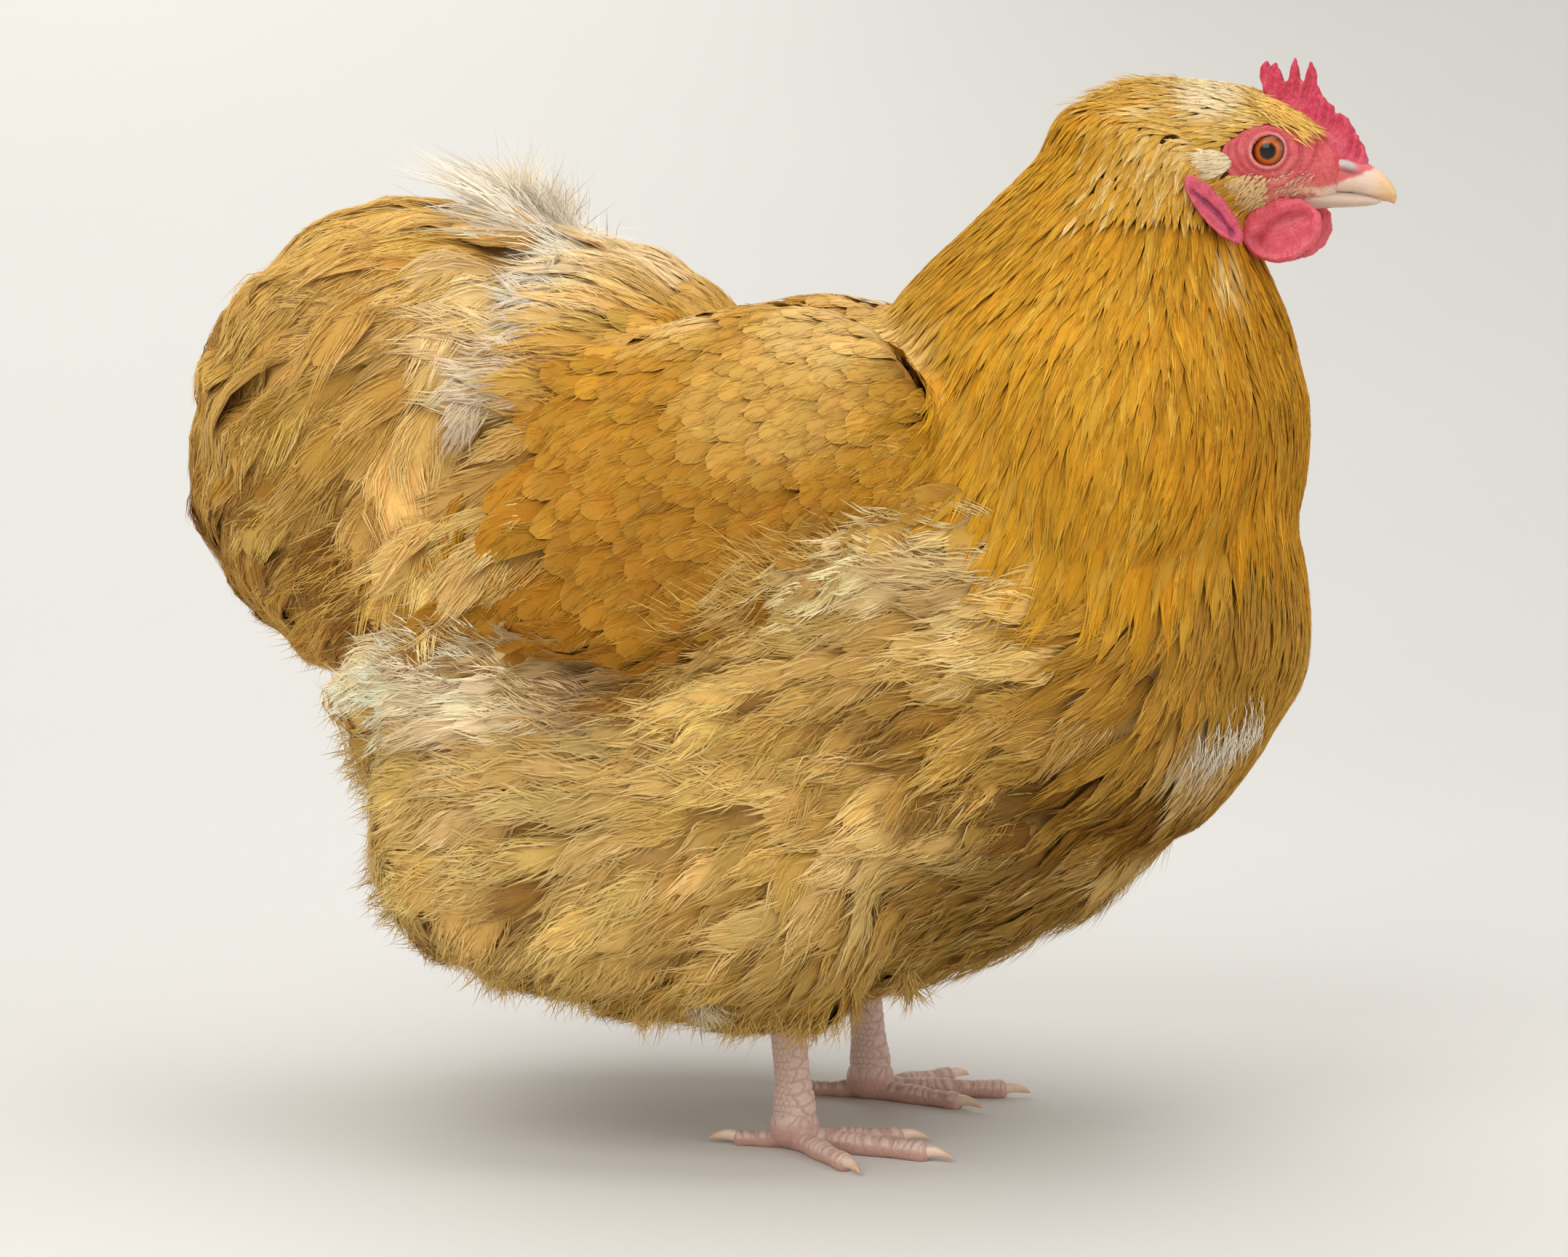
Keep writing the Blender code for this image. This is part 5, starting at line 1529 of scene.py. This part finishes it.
def make_eyes(material):
    for word, side in SIDES:
        place = (EYE_PLACE[0], side * EYE_PLACE[1], EYE_PLACE[2])
        obj = egg("eye", place, (EYE_RADIUS,) * 3, Matrix.Identity(4), 96, 64)
        co = points_of(obj)
        gaze = unit(np.array((0.06, side, 0.0)))
        away = unit(co - np.array(place))
        apart = np.arccos(np.clip(away @ gaze, -1, 1)) * EYE_RADIUS
        kept = obj.data.attributes.new("from_pupil", "FLOAT", "POINT")
        kept.data.foreach_set("value", apart.astype(np.float32))
        colour = all_over(EYE_AMBER, co)
        finished(to_head(obj), "eyeball_" + word, colour, material, "eye", "eye_" + word)


def make_beak(material):
    upper = loft("upper", BEAK_UPPER, 96, 120)
    co, normals = points_of(upper), vertex_normals(upper)
    u, v, z = co.T
    on_side = smooth(2, 4, np.abs(v))
    slit = np.exp(-(((u - 64) / 3.2) ** 2) - ((z - (348.4 + 0.25 * (64 - u))) / 0.7) ** 2) * on_side
    hood = np.exp(-(((u - 63) / 3.4) ** 2) - ((z - (350.6 + 0.3 * (64 - u))) / 1.6) ** 2) * on_side
    edge = np.exp(-(((z - (342.6 - 0.1 * (u - 48))) / 0.8) ** 2)) * smooth(76, 70, u)
    set_points(upper, co + normals * (1.0 * hood - 0.7 * slit + 0.25 * edge)[:, None])
    colour = mixed(all_over(HORN_PINK, co), HORN_TIP, smooth(70, 79, u))
    colour = mixed(colour, HORN_EDGE, 0.5 * smooth(341.5, 339.5, z))
    fleshy = smooth(-1.0, 1.0, above_mouth(u, z) + 0.8 * wave_noise(co, 3, 44)) * smooth(75, 70, u)
    colour = mixed(colour, FACE_RED, fleshy * 0.85)
    colour = mixed(colour, NOSTRIL_GREY, np.clip(hood * 1.6, 0, 1))
    # Painted shadow in the nostril's slit
    colour = mixed(colour, NOSTRIL_SHADOW, 0.6 * slit)
    finished(to_head(upper), "upper_beak", colour, material, "horn", "beak_upper")
    lower = loft("lower", BEAK_LOWER, 64, 72)
    co = points_of(lower)
    colour = mixed(all_over(HORN_PINK, co) * 0.9, FACE_RED, smooth(50, 46, co[:, 0]))
    colour = mixed(colour, NOSTRIL_GREY, 0.4 * smooth(338.5, 341, co[:, 2]))
    finished(to_head(lower), "lower_beak", colour, material, "horn", "beak_lower")


def upright_noise(points):
    """The comb's grain, drawn out upwards."""
    return wave_noise(points * (1.8, 1, 0.6), 4.2, 41)


def make_comb_piece(material):
    """A low single comb: its outline is filled and thickened, rounded, and thinned towards its points."""
    curve = bpy.data.curves.new("comb_line", "CURVE")
    curve.dimensions = "2D"
    curve.fill_mode = "BOTH"
    curve.extrude = COMB_HALF_THICK
    line = curve.splines.new("POLY")
    line.points.add(len(COMB) - 1)
    for point, (forward, height) in zip(line.points, COMB):
        point.co = (forward, height, 0, 1)
    line.use_cyclic_u = True
    flat = bpy.data.objects.new("comb_flat", curve)
    bpy.context.scene.collection.objects.link(flat)
    only(flat)
    bpy.ops.object.convert(target="MESH")
    obj = bpy.context.active_object
    obj.data.transform(tilt(90, "X"))
    remeshed(obj, COMB_VOXEL, COMB_ROUNDS)
    co = points_of(obj)
    above = (co[:, 2] - 370) * 0.83 + (co[:, 0] - 38) * 0.56
    co[:, 1] *= np.interp(above, (-6, 2, 14, 24), (1.9, 1.6, 0.95, 0.7))
    co[:, 1] += 0.7 * np.sin(co[:, 0] * 0.28) * smooth(366, 386, co[:, 2])
    set_points(obj, co)
    co, normals = points_of(obj), vertex_normals(obj)
    ridges = 0.45 * upright_noise(co) + 0.16 * wave_noise(co, 1.6, 42)
    set_points(obj, co + normals * ridges[:, None])
    # The ridges' own noise colours the comb too: paler on the ridges and darker in the valleys between
    # them, as painted light and shade
    grain = upright_noise(co)
    low = smooth(6, -6, (co[:, 2] - 366) * 0.83 + (co[:, 0] - 50) * 0.56 + 3 * wave_noise(co, 7, 45))
    pale = np.clip(0.75 * low + 0.3 * smooth(0.0, 0.9, grain), 0, 0.85)
    colour = mixed(all_over(COMB_RED, co), COMB_PALE, pale)
    colour = mixed(colour, FLESH_SHADE, 0.3 * smooth(-0.1, -0.8, grain))
    return finished(to_head(obj), "red_comb", colour, material, "red_skin", "comb")


def lobe(name, place, reach, cup, slope, side, fold, yaw=0.0):
    """A fleshy lobe, hollowed on its outer face, with a rolled rim and a fold across."""
    obj = ball(name, 96, 64)
    x, y, z = points_of(obj).T
    radial = x**2 + z**2
    outer = smooth(-0.2, 0.4, y)
    roll = np.exp(-(((radial - 0.78) / 0.16) ** 2)) * smooth(0.5, -0.3, z)
    crease = np.exp(-(((z - fold - 0.3 * x + 0.5 * x**2) / 0.2) ** 2)) * smooth(0.95, 0.3, radial)
    out = y * reach[1] - cup * (1 - radial) + outer * (0.9 * roll - 1.0 * crease)
    set_points(obj, np.stack((x * reach[0], out, z * reach[2]), 1))
    obj.data.transform(tilt(slope, "Y"))
    co = points_of(obj)
    set_points(obj, co - np.outer(co[:, 0] * yaw, (0, 1, 0)))
    obj.data.transform(Matrix.Diagonal((1, side, 1, 1)) @ Matrix.Translation(place))
    if side < 0:
        obj.data.flip_normals()
    co, normals = points_of(obj), vertex_normals(obj)
    ripple = 0.5 * wave_noise(co, 6, 51) + 0.16 * wave_noise(co, 1.9, 52)
    set_points(obj, co + normals * ripple[:, None])
    return obj, roll, crease


def make_lobes(material):
    for word, side in SIDES:
        shape = (WATTLE_PLACE, WATTLE_REACH, WATTLE_CUP, WATTLE_SLOPE_DEG)
        obj, roll, crease = lobe("wattle", *shape, side, 0.3)
        spots = smooth(-0.2, 0.9, wave_noise(points_of(obj), 3.5, 53))
        # Painted shade in the wattle's fold, and painted light on its rolled rim
        colour = mixed(all_over(WATTLE_PINK, roll), FLESH_SHADE, 0.5 * crease)
        colour = mixed(colour, COMB_PALE, 0.6 * roll)
        colour = mixed(colour, COMB_PALE, 0.25 * spots)
        finished(to_head(obj), "chin_wattle_" + word, colour, material, "red_skin", "wattle_" + word)
        shape = (EARLOBE_PLACE, EARLOBE_REACH, EARLOBE_CUP, EARLOBE_SLOPE_DEG)
        obj, roll, crease = lobe("earlobe", *shape, side, 0.0, EARLOBE_YAW)
        colour = mixed(all_over(LOBE_RED, roll), LOBE_PURPLE, 0.9 * crease)
        colour = mixed(colour, COMB_PALE, 0.5 * roll)
        finished(to_head(obj), "ear_lobe_" + word, colour, material, "red_skin", "earlobe_" + word)


def hair_batch(places, normals, flow, length, width, colour, rise, sway, unwrap):
    """Single barbs and bristles: spindles rooted at these places, bent up and away from the skin."""
    n = len(places)
    heading = np.array(flow, float) + chance.normal(0, sway, (n, 3))
    heading = unit(heading - normals * (heading * normals).sum(1, keepdims=True) * 0.8)
    aside = unit(np.cross(normals, heading))
    up = np.cross(heading, aside)
    long = chance.uniform(*length, (n, 1))
    middle = places + heading * long * 0.45 + up * (rise * chance.uniform(0.3, 1, (n, 1)))
    tip = places + heading * long + up * (rise * chance.uniform(0.2, 1.6, (n, 1)))
    tip = tip + aside * chance.normal(0, 0.06, (n, 1)) * long
    foot = places - normals * 0.6
    points = spindles(foot, middle, tip, aside, up, width, 0.45)
    tone = np.array(colour, float) * (1 + chance.normal(0, 0.05, (n, 1)))

    def for_points(values):
        return np.repeat(values, SPINDLE_POINTS, 0)

    return {
        "points": points.reshape(-1, 3),
        "faces": for_each(SPINDLE, n, SPINDLE_POINTS),
        "colour": for_points(tone),
        "vane": for_points(np.stack((np.zeros(n), np.zeros(n), chance.random(n) * 50), 1)),
        "bake": for_points(unwrap(places)) + np.tile(chance.uniform(-PATCH, PATCH, (5, 2)) / 2, (n, 1)),
        "normal": for_points(normals),
    }


def on_cheek(tree, spots, side):
    """Places and normals on the straight head, seen from one side, for spots of forward and height."""
    inwards = Vector((0, -side, 0))
    hits = [tree.ray_cast(Vector((u, side * 60.0, z)), inwards) for u, z in spots]
    hits = [hit for hit in hits if hit[0] is not None]
    return np.array([hit[0] for hit in hits]), np.array([hit[1] for hit in hits])


def face_bristles(material):
    """Fine bristles on the bare cheek and brow, and a thick cream tuft over the ear."""
    guide = loft("bristle_guide", HEAD, 64, 60)
    tree = tree_of(guide)
    batches = []

    def add(spots, side, flow, length, width, colour, rise, sway=0.16):
        looks = (flow, length, width, colour, rise, sway)
        batches.append(hair_batch(*on_cheek(tree, spots, side), *looks, near_the_eye))

    for _, side in SIDES:
        spots = chance.uniform((18, 331), (54, 350), (1500, 2))
        low = smooth(349, 343, spots[:, 1] + 0.25 * (30 - spots[:, 0])) * smooth(56, 48, spots[:, 0])
        spots = spots[chance.random(len(spots)) < low]
        half = len(spots) // 2
        add(spots[:half], side, (-0.9, 0, -0.4), (2.0, 4), 0.26, CREAM, 0.5)
        add(spots[half:], side, (-0.9, 0, -0.4), (2.0, 4), 0.24, FACE_PALE, 0.4)
        share = chance.random(560)
        spots = np.stack((29 + 18 * share, 375.5 - 8 * share**1.2 - np.abs(chance.normal(0, 2.2, 560))), 1)
        add(spots, side, (0.78, 0, -0.6), (6, 13), 0.62, BROW_GOLD, 1.6, 0.1)
        turn = chance.uniform(0, math.tau, 700)
        far = np.sqrt(chance.random(700))
        spots = np.stack((19 + 7.5 * far * np.cos(turn), 351.6 + 4.4 * far * np.sin(turn)), 1)
        add(spots, side, (-1, 0, -0.1), (5, 8.5), 0.95, CREAM, 3.2, 0.07)
        spots = chance.uniform((15, 332), (38, 348), (1000, 2))
        spots = spots[spots[:, 1] + 1.28 * spots[:, 0] > 369]
        add(spots, side, (-0.7, 0, -0.6), (3, 6.5), 0.5, CHEEK_BUFF, 1.0, 0.12)
    bpy.data.objects.remove(guide)
    joined = gather(batches)
    turn = np.array(HEAD_TURN)
    joined["points"] = joined["points"] @ turn[:3, :3].T + turn[:3, 3]
    joined["normal"] = joined["normal"] @ turn[:3, :3].T
    return coat_piece("coat_face_bristles", joined, material)


def near_the_eye(places):
    """An unwrap of the straight head, round its own line."""
    return round_the_neck(places + np.array(HEAD_PIVOT))


def along_line(line, count, spread):
    """Places strewn along a line of corners, each strayed from it a little."""
    corners = np.array(line, float)
    share = chance.random(count) * (len(corners) - 1)
    at = np.minimum(share.astype(int), len(corners) - 2)
    part = (share - at)[:, None]
    return corners[at] * (1 - part) + corners[at + 1] * part + chance.normal(0, spread, (count, 3))


def loose_wisps(tree):
    """Long loose barbs where the fluff ends, on both sides."""
    batches = []
    for line, count, spread, flow, length, width, colour, rise, sway in WISPS:
        for side in (-1, 1):
            places, normals = nearest(tree, along_line(line, count, spread) * (1, -side, 1))
            looks = (flow, length, width, colour, rise, sway)
            batches.append(hair_batch(places, normals, *looks, round_the_body))
    return gather(batches)


def plates(across, along, wide, long):
    """Height of a skin of plates that are laid as bricks, and how far from a groove it is, from 0 to 1."""
    along = along + 0.16 * long * np.sin(across * 3.1 + along * 0.23)
    across = across + 0.14 * wide * np.sin(along * 1.3)
    row = np.floor(along / long)
    column = across / wide + 0.5 * (row % 2)
    off = np.maximum(np.abs(column - np.floor(column) - 0.5), np.abs(along / long - row - 0.5)) * 2
    flat = 1 - smooth(0.6, 1.05, off)
    return flat * (0.8 + 0.4 * (along / long - row)), flat


def scaled(flat):
    """The leg's colour: pink on the plates, darker in the grooves between them."""
    return mixed(all_over(LEG_GROOVE, flat), LEG_PINK, 0.25 + 0.75 * flat)


def make_shank(word, yaw, stand, skin):
    """A shank with large plates in front and small ones behind."""
    shank = loft("shank", SHANK, 120, 150)
    co, normals = points_of(shank), vertex_normals(shank)
    turn = np.arctan2(co[:, 1], co[:, 0] + 2) - math.radians(yaw)
    turn = (turn + math.pi) % math.tau - math.pi
    front = smooth(1.25, 0.95, np.abs(turn))
    big, big_flat = plates(turn, co[:, 2], 0.85, 4.2)
    small, small_flat = plates(turn, co[:, 2], 0.34, 2.3)
    high = front * big + (1 - front) * small * 0.6
    flat = front * big_flat + (1 - front) * small_flat
    set_points(shank, co + normals * (SCUTE_HEIGHT * high - 0.2)[:, None])
    shank.data.transform(stand)
    name = "scaled_shank_" + word
    finished(place_in_frame(shank), name, scaled(flat), skin, "leg_skin", "shank_" + word)


def make_claw(word, toe, seat, horn):
    claw = loft("claw", CLAW, 40, 32)
    reach = points_of(claw)[:, 0]
    claw.data.transform(seat)
    colour = mixed(all_over(HORN_PINK, reach), HORN_EDGE, 0.6 * smooth(4, 11, reach))
    name = f"claw_{word}_{toe}"
    finished(place_in_frame(claw), "horn_" + name, colour, horn, "horn", name)


def make_foot(word, parts, toes, stand, skin):
    """A foot of its ball and toes in one skin, with plates above and pads below."""
    foot = fused("foot", parts, FOOT_VOXEL, FOOT_ROUNDS)
    co, normals = points_of(foot), vertex_normals(foot)
    along, off = np.zeros(len(co)), np.full(len(co), 1e3)
    for ahead in toes:
        reach = co[:, :2] @ ahead
        beside = np.abs(co[:, 0] * ahead[1] - co[:, 1] * ahead[0]) + 50 * (reach < 0)
        along, off = np.where(beside < off, reach, along), np.minimum(off, beside)
    top = smooth(-0.1, 0.45, normals[:, 2])
    high, flat = plates(off * 0.3, along, 9.0, SCUTE_STEP)
    pads, pad_flat = plates(off * 0.9, along, 1.6, 1.7)
    push = SCUTE_HEIGHT * (top * high + (1 - top) * 0.5 * pads) - 0.15
    co = co + normals * push[:, None]
    co[:, 2] = np.maximum(co[:, 2], 0)
    set_points(foot, co)
    foot.data.transform(stand)
    colour = mixed(scaled(flat * top), PAD_PINK, 0.7 * (1 - top) * pad_flat)
    finished(place_in_frame(foot), "scaled_foot_" + word, colour, skin, "leg_skin", "foot_" + word)


def make_legs(skin, horn):
    for word, side in SIDES:
        forward, aside, yaw = FOOT[word]
        stand = Matrix.Translation((forward, aside, 0))
        make_shank(word, yaw, stand, skin)
        parts, toes = [egg("ball", *FOOT_BALL, Matrix.Identity(4), 48, 32)], []
        for toe, angle, length, radius in TOES:
            heading = tilt(yaw + side * angle * (1 if toe == "hind" else -1), "Z")
            piece = loft("toe", toe_rows(length, radius), 40, 60)
            piece.data.transform(heading)
            parts.append(piece)
            toes.append(np.array(heading)[:2, 0])
            make_claw(word, toe, stand @ heading @ Matrix.Translation((length, 0, 0)), horn)
        make_foot(word, parts, toes, stand, skin)


def toe_rows(length, radius):
    """A toe from its root to its claw, thick at its knuckles and thin between them."""
    rows = [(-TOE_END, radius - TOE_SUNK, 0, 0, 0)]
    steps = 2 * KNUCKLES
    for i in range(steps + 1):
        thick = radius * (1 - TOE_TAPER * i / steps)
        around = thick * (TOE_WAIST if i % 2 else 1)
        rows.append((length * i / steps, thick - TOE_SUNK, around, around, around))
    rows.append((length + TOE_END, rows[-1][1], 0, 0, 0))
    return rows


def make_skin(guide, shares, material):
    """The skin under the whole coat: the guide's own shape, drawn in to where the feathers begin."""
    only(guide)
    bpy.ops.object.duplicate()
    obj = bpy.context.active_object
    normals = vertex_normals(obj)
    depth = SKIN_DEPTH + (FACE_DEPTH - SKIN_DEPTH) * shares[:, FORM_NAMES.index("head")]
    co = points_of(obj) - normals * depth[:, None]
    set_points(obj, co)
    # Painted shade: the skin takes the fluff's colour, and under the neck and wings the hackle's gold,
    # darkened so that gaps in the coat look shaded
    colour = shaded(base_colour(co, "thigh"), SKIN_SHADE)
    gold = shares[:, FORM_NAMES.index("neck")] + shares[:, FORM_NAMES.index("wing")]
    colour = mixed(colour, shaded(np.array(HACKLE_GOLD, float), SKIN_SHADE), np.clip(gold, 0, 1))
    give_colour(obj.data, colour)
    lighter = obj.modifiers.new("lighter", "DECIMATE")
    lighter.ratio = SKIN_KEPT
    finish_modifier(obj, lighter)
    replaced = ["torso", "neck", "tail", "wing_right", "wing_left", "thigh_right", "thigh_left"]
    return finished(place_in_frame(obj), "body_skin", None, material, "buff_feather", *replaced)


def shaped_guide():
    """The surface that the feathers follow, with lobes and creases, and what each vertex belongs to."""
    forms = body_forms()
    trees = {name: tree_of(form) for name, form in forms.items()}
    guide = fused("guide", list(forms.values()), GUIDE_VOXEL, GUIDE_ROUNDS)
    lobes = lobes_on(tree_of(guide))
    vertices, normals = points_of(guide), vertex_normals(guide)
    shares = form_shares(trees, vertices)
    kinds = kind_of_place(vertices, normals, shares)
    high, top, _ = lobe_field(lobes, vertices)
    may = np.isin(kinds, LOBED_KINDS)
    high *= may
    sunk = LOBE_SUNK * smooth(0, 1, np.maximum(high, np.isin(kinds, SUNK_KINDS)))
    fluffy = np.isin(kinds, FLUFF_KINDS)
    relief = high - sunk + fluffy * LUMP_HIGH * (lumps(vertices) - 0.4)
    for near, depth, _, _ in crease_marks(vertices):
        relief -= near * depth * may
    set_points(guide, vertices + normals * np.maximum(relief, LEAST_RELIEF)[:, None])
    return guide, lobes, shares, np.where(may & (high > 0.9), lobes["kind"][top], kinds)


def feather_roots(guide, kinds):
    """Where feathers have their roots, and the guide's vertex beside each."""
    vertices = points_of(guide)
    gaps = np.full(len(vertices), NO_FEATHER)
    for kind, look in KINDS.items():
        here = kinds == kind
        gaps[here] = look["gap"] * np.clip(size_here(kind, vertices[here]), 0.5, 1.2)
    return spread_by_vertex(guide, gaps, MOST_TRIES)


def make_coat(material, skin):
    """The skin, the feathers in their pieces and the loose wisps."""
    guide, lobes, shares, kinds = shaped_guide()
    make_skin(guide, shares, skin)
    tree = tree_of(guide)
    roots, beside = feather_roots(guide, kinds)
    kinds, shares = kinds[beside], shares[beside]
    for name, wanted, unwrap, slot in PIECES:
        halves = [("_right", -1), ("_left", 1)] if name in SPLIT_BY_SIDE else [("", 0)]
        for word, side in halves:
            batches = []
            for kind in wanted:
                here = (kinds == kind) & ((roots[:, 1] * side >= 0) if side else True)
                if here.any():
                    own, sizes = roots[here], size_here(kind, roots[here])
                    batches.append(lay_coat(kind, tree, lobes, own, shares[here], sizes, unwrap))
            coat_piece(name + word, gather(batches), material)
    coat_piece("coat_wisps", loose_wisps(tree), material)
    bpy.data.objects.remove(guide)


def studio():
    """A round floor that curves up into a wall, soft lights and the camera."""
    bpy.ops.object.select_all(action="DESELECT")
    bpy.ops.mesh.primitive_circle_add(vertices=COVE_SIDES, radius=COVE_START, fill_type="NGON")
    floor = bpy.context.active_object
    floor.name = "studio_floor"
    bpy.ops.object.mode_set(mode="EDIT")
    bpy.ops.mesh.select_all(action="SELECT")
    bpy.ops.mesh.region_to_loop()
    before = (COVE_START, 0.0)
    for step in range(1, COVE_STEPS + 1):
        turn = math.pi / 2 * step / COVE_STEPS
        after = (COVE_START + COVE_OUT * math.sin(turn), COVE_UP * (1 - math.cos(turn)))
        higher, wider = after[1] - before[1], after[0] / before[0]
        bpy.ops.mesh.extrude_edges_move(TRANSFORM_OT_translate={"value": (0, 0, higher)})
        bpy.ops.transform.resize(value=(wider, wider, 1), center_override=(0, 0, after[1]))
        before = after
    bpy.ops.object.mode_set(mode="OBJECT")
    turned_outward(floor)
    floor.data.shade_smooth()
    floor.data.materials.append(plain_material("pale_floor", FLOOR_GREY, 0.85, 3))
    for name, place, size, power in LIGHTS:
        light = bpy.data.lights.new(name, "AREA")
        light.size = size
        light.energy = power
        lamp = bpy.data.objects.new(name, light)
        lamp.location = place
        lamp.rotation_euler = (Vector(LIGHTS_AIM) - Vector(place)).to_track_quat("-Z", "Y").to_euler()
        bpy.context.scene.collection.objects.link(lamp)
    world = bpy.data.worlds.new("studio_air")
    world.use_nodes = True
    set_inputs(world.node_tree.nodes["Background"], color=AIR_BLUE, strength=AIR_LIGHT)
    bpy.context.scene.world = world
    around, above = (math.radians(a) for a in CAMERA_ROUND)
    level = math.cos(above)
    back = Vector((math.sin(around) * level, -math.cos(around) * level, math.sin(above)))
    camera = bpy.data.cameras.new("photo_camera")
    camera.sensor_width = SENSOR
    camera.lens = SENSOR * CAMERA_AWAY / (PHOTO_WIDE * MM_A_PIXEL)
    seat = bpy.data.objects.new("photo_camera", camera)
    seat.location = Vector((SHIFT[0], SHIFT[1], CAMERA_HEIGHT * MM)) + back * CAMERA_AWAY * MM
    seat.rotation_euler = (-back).to_track_quat("-Z", "Y").to_euler()
    bpy.context.scene.collection.objects.link(seat)
    bpy.context.scene.camera = seat
    bpy.context.scene.view_settings.view_transform = "Standard"


def main():
    feather = feather_material("feather_barbs", 0.75, 0.0, 0.1, 0.2)
    skin = skin_material("downy_skin", 0.8, 500, 0.3, 0.0006, 0.0, spots=0.1)
    flesh = skin_material("red_flesh", 0.42, 1500, 0.45, 0.0003, 0.2, coat=0.12, spots=0.2)
    horn = skin_material("beak_horn", 0.34, 900, 0.12, 0.00012, 0.1, coat=0.2, spots=0.06)
    leg = skin_material("leg_scales", 0.48, 1300, 0.3, 0.00015, 0.15, spots=0.12)
    studio()
    make_coat(feather, skin)
    face_skin(flesh)
    face_bristles(feather)
    make_eyes(eye_material())
    make_beak(horn)
    make_comb_piece(flesh)
    make_lobes(flesh)
    make_legs(leg, horn)


main()
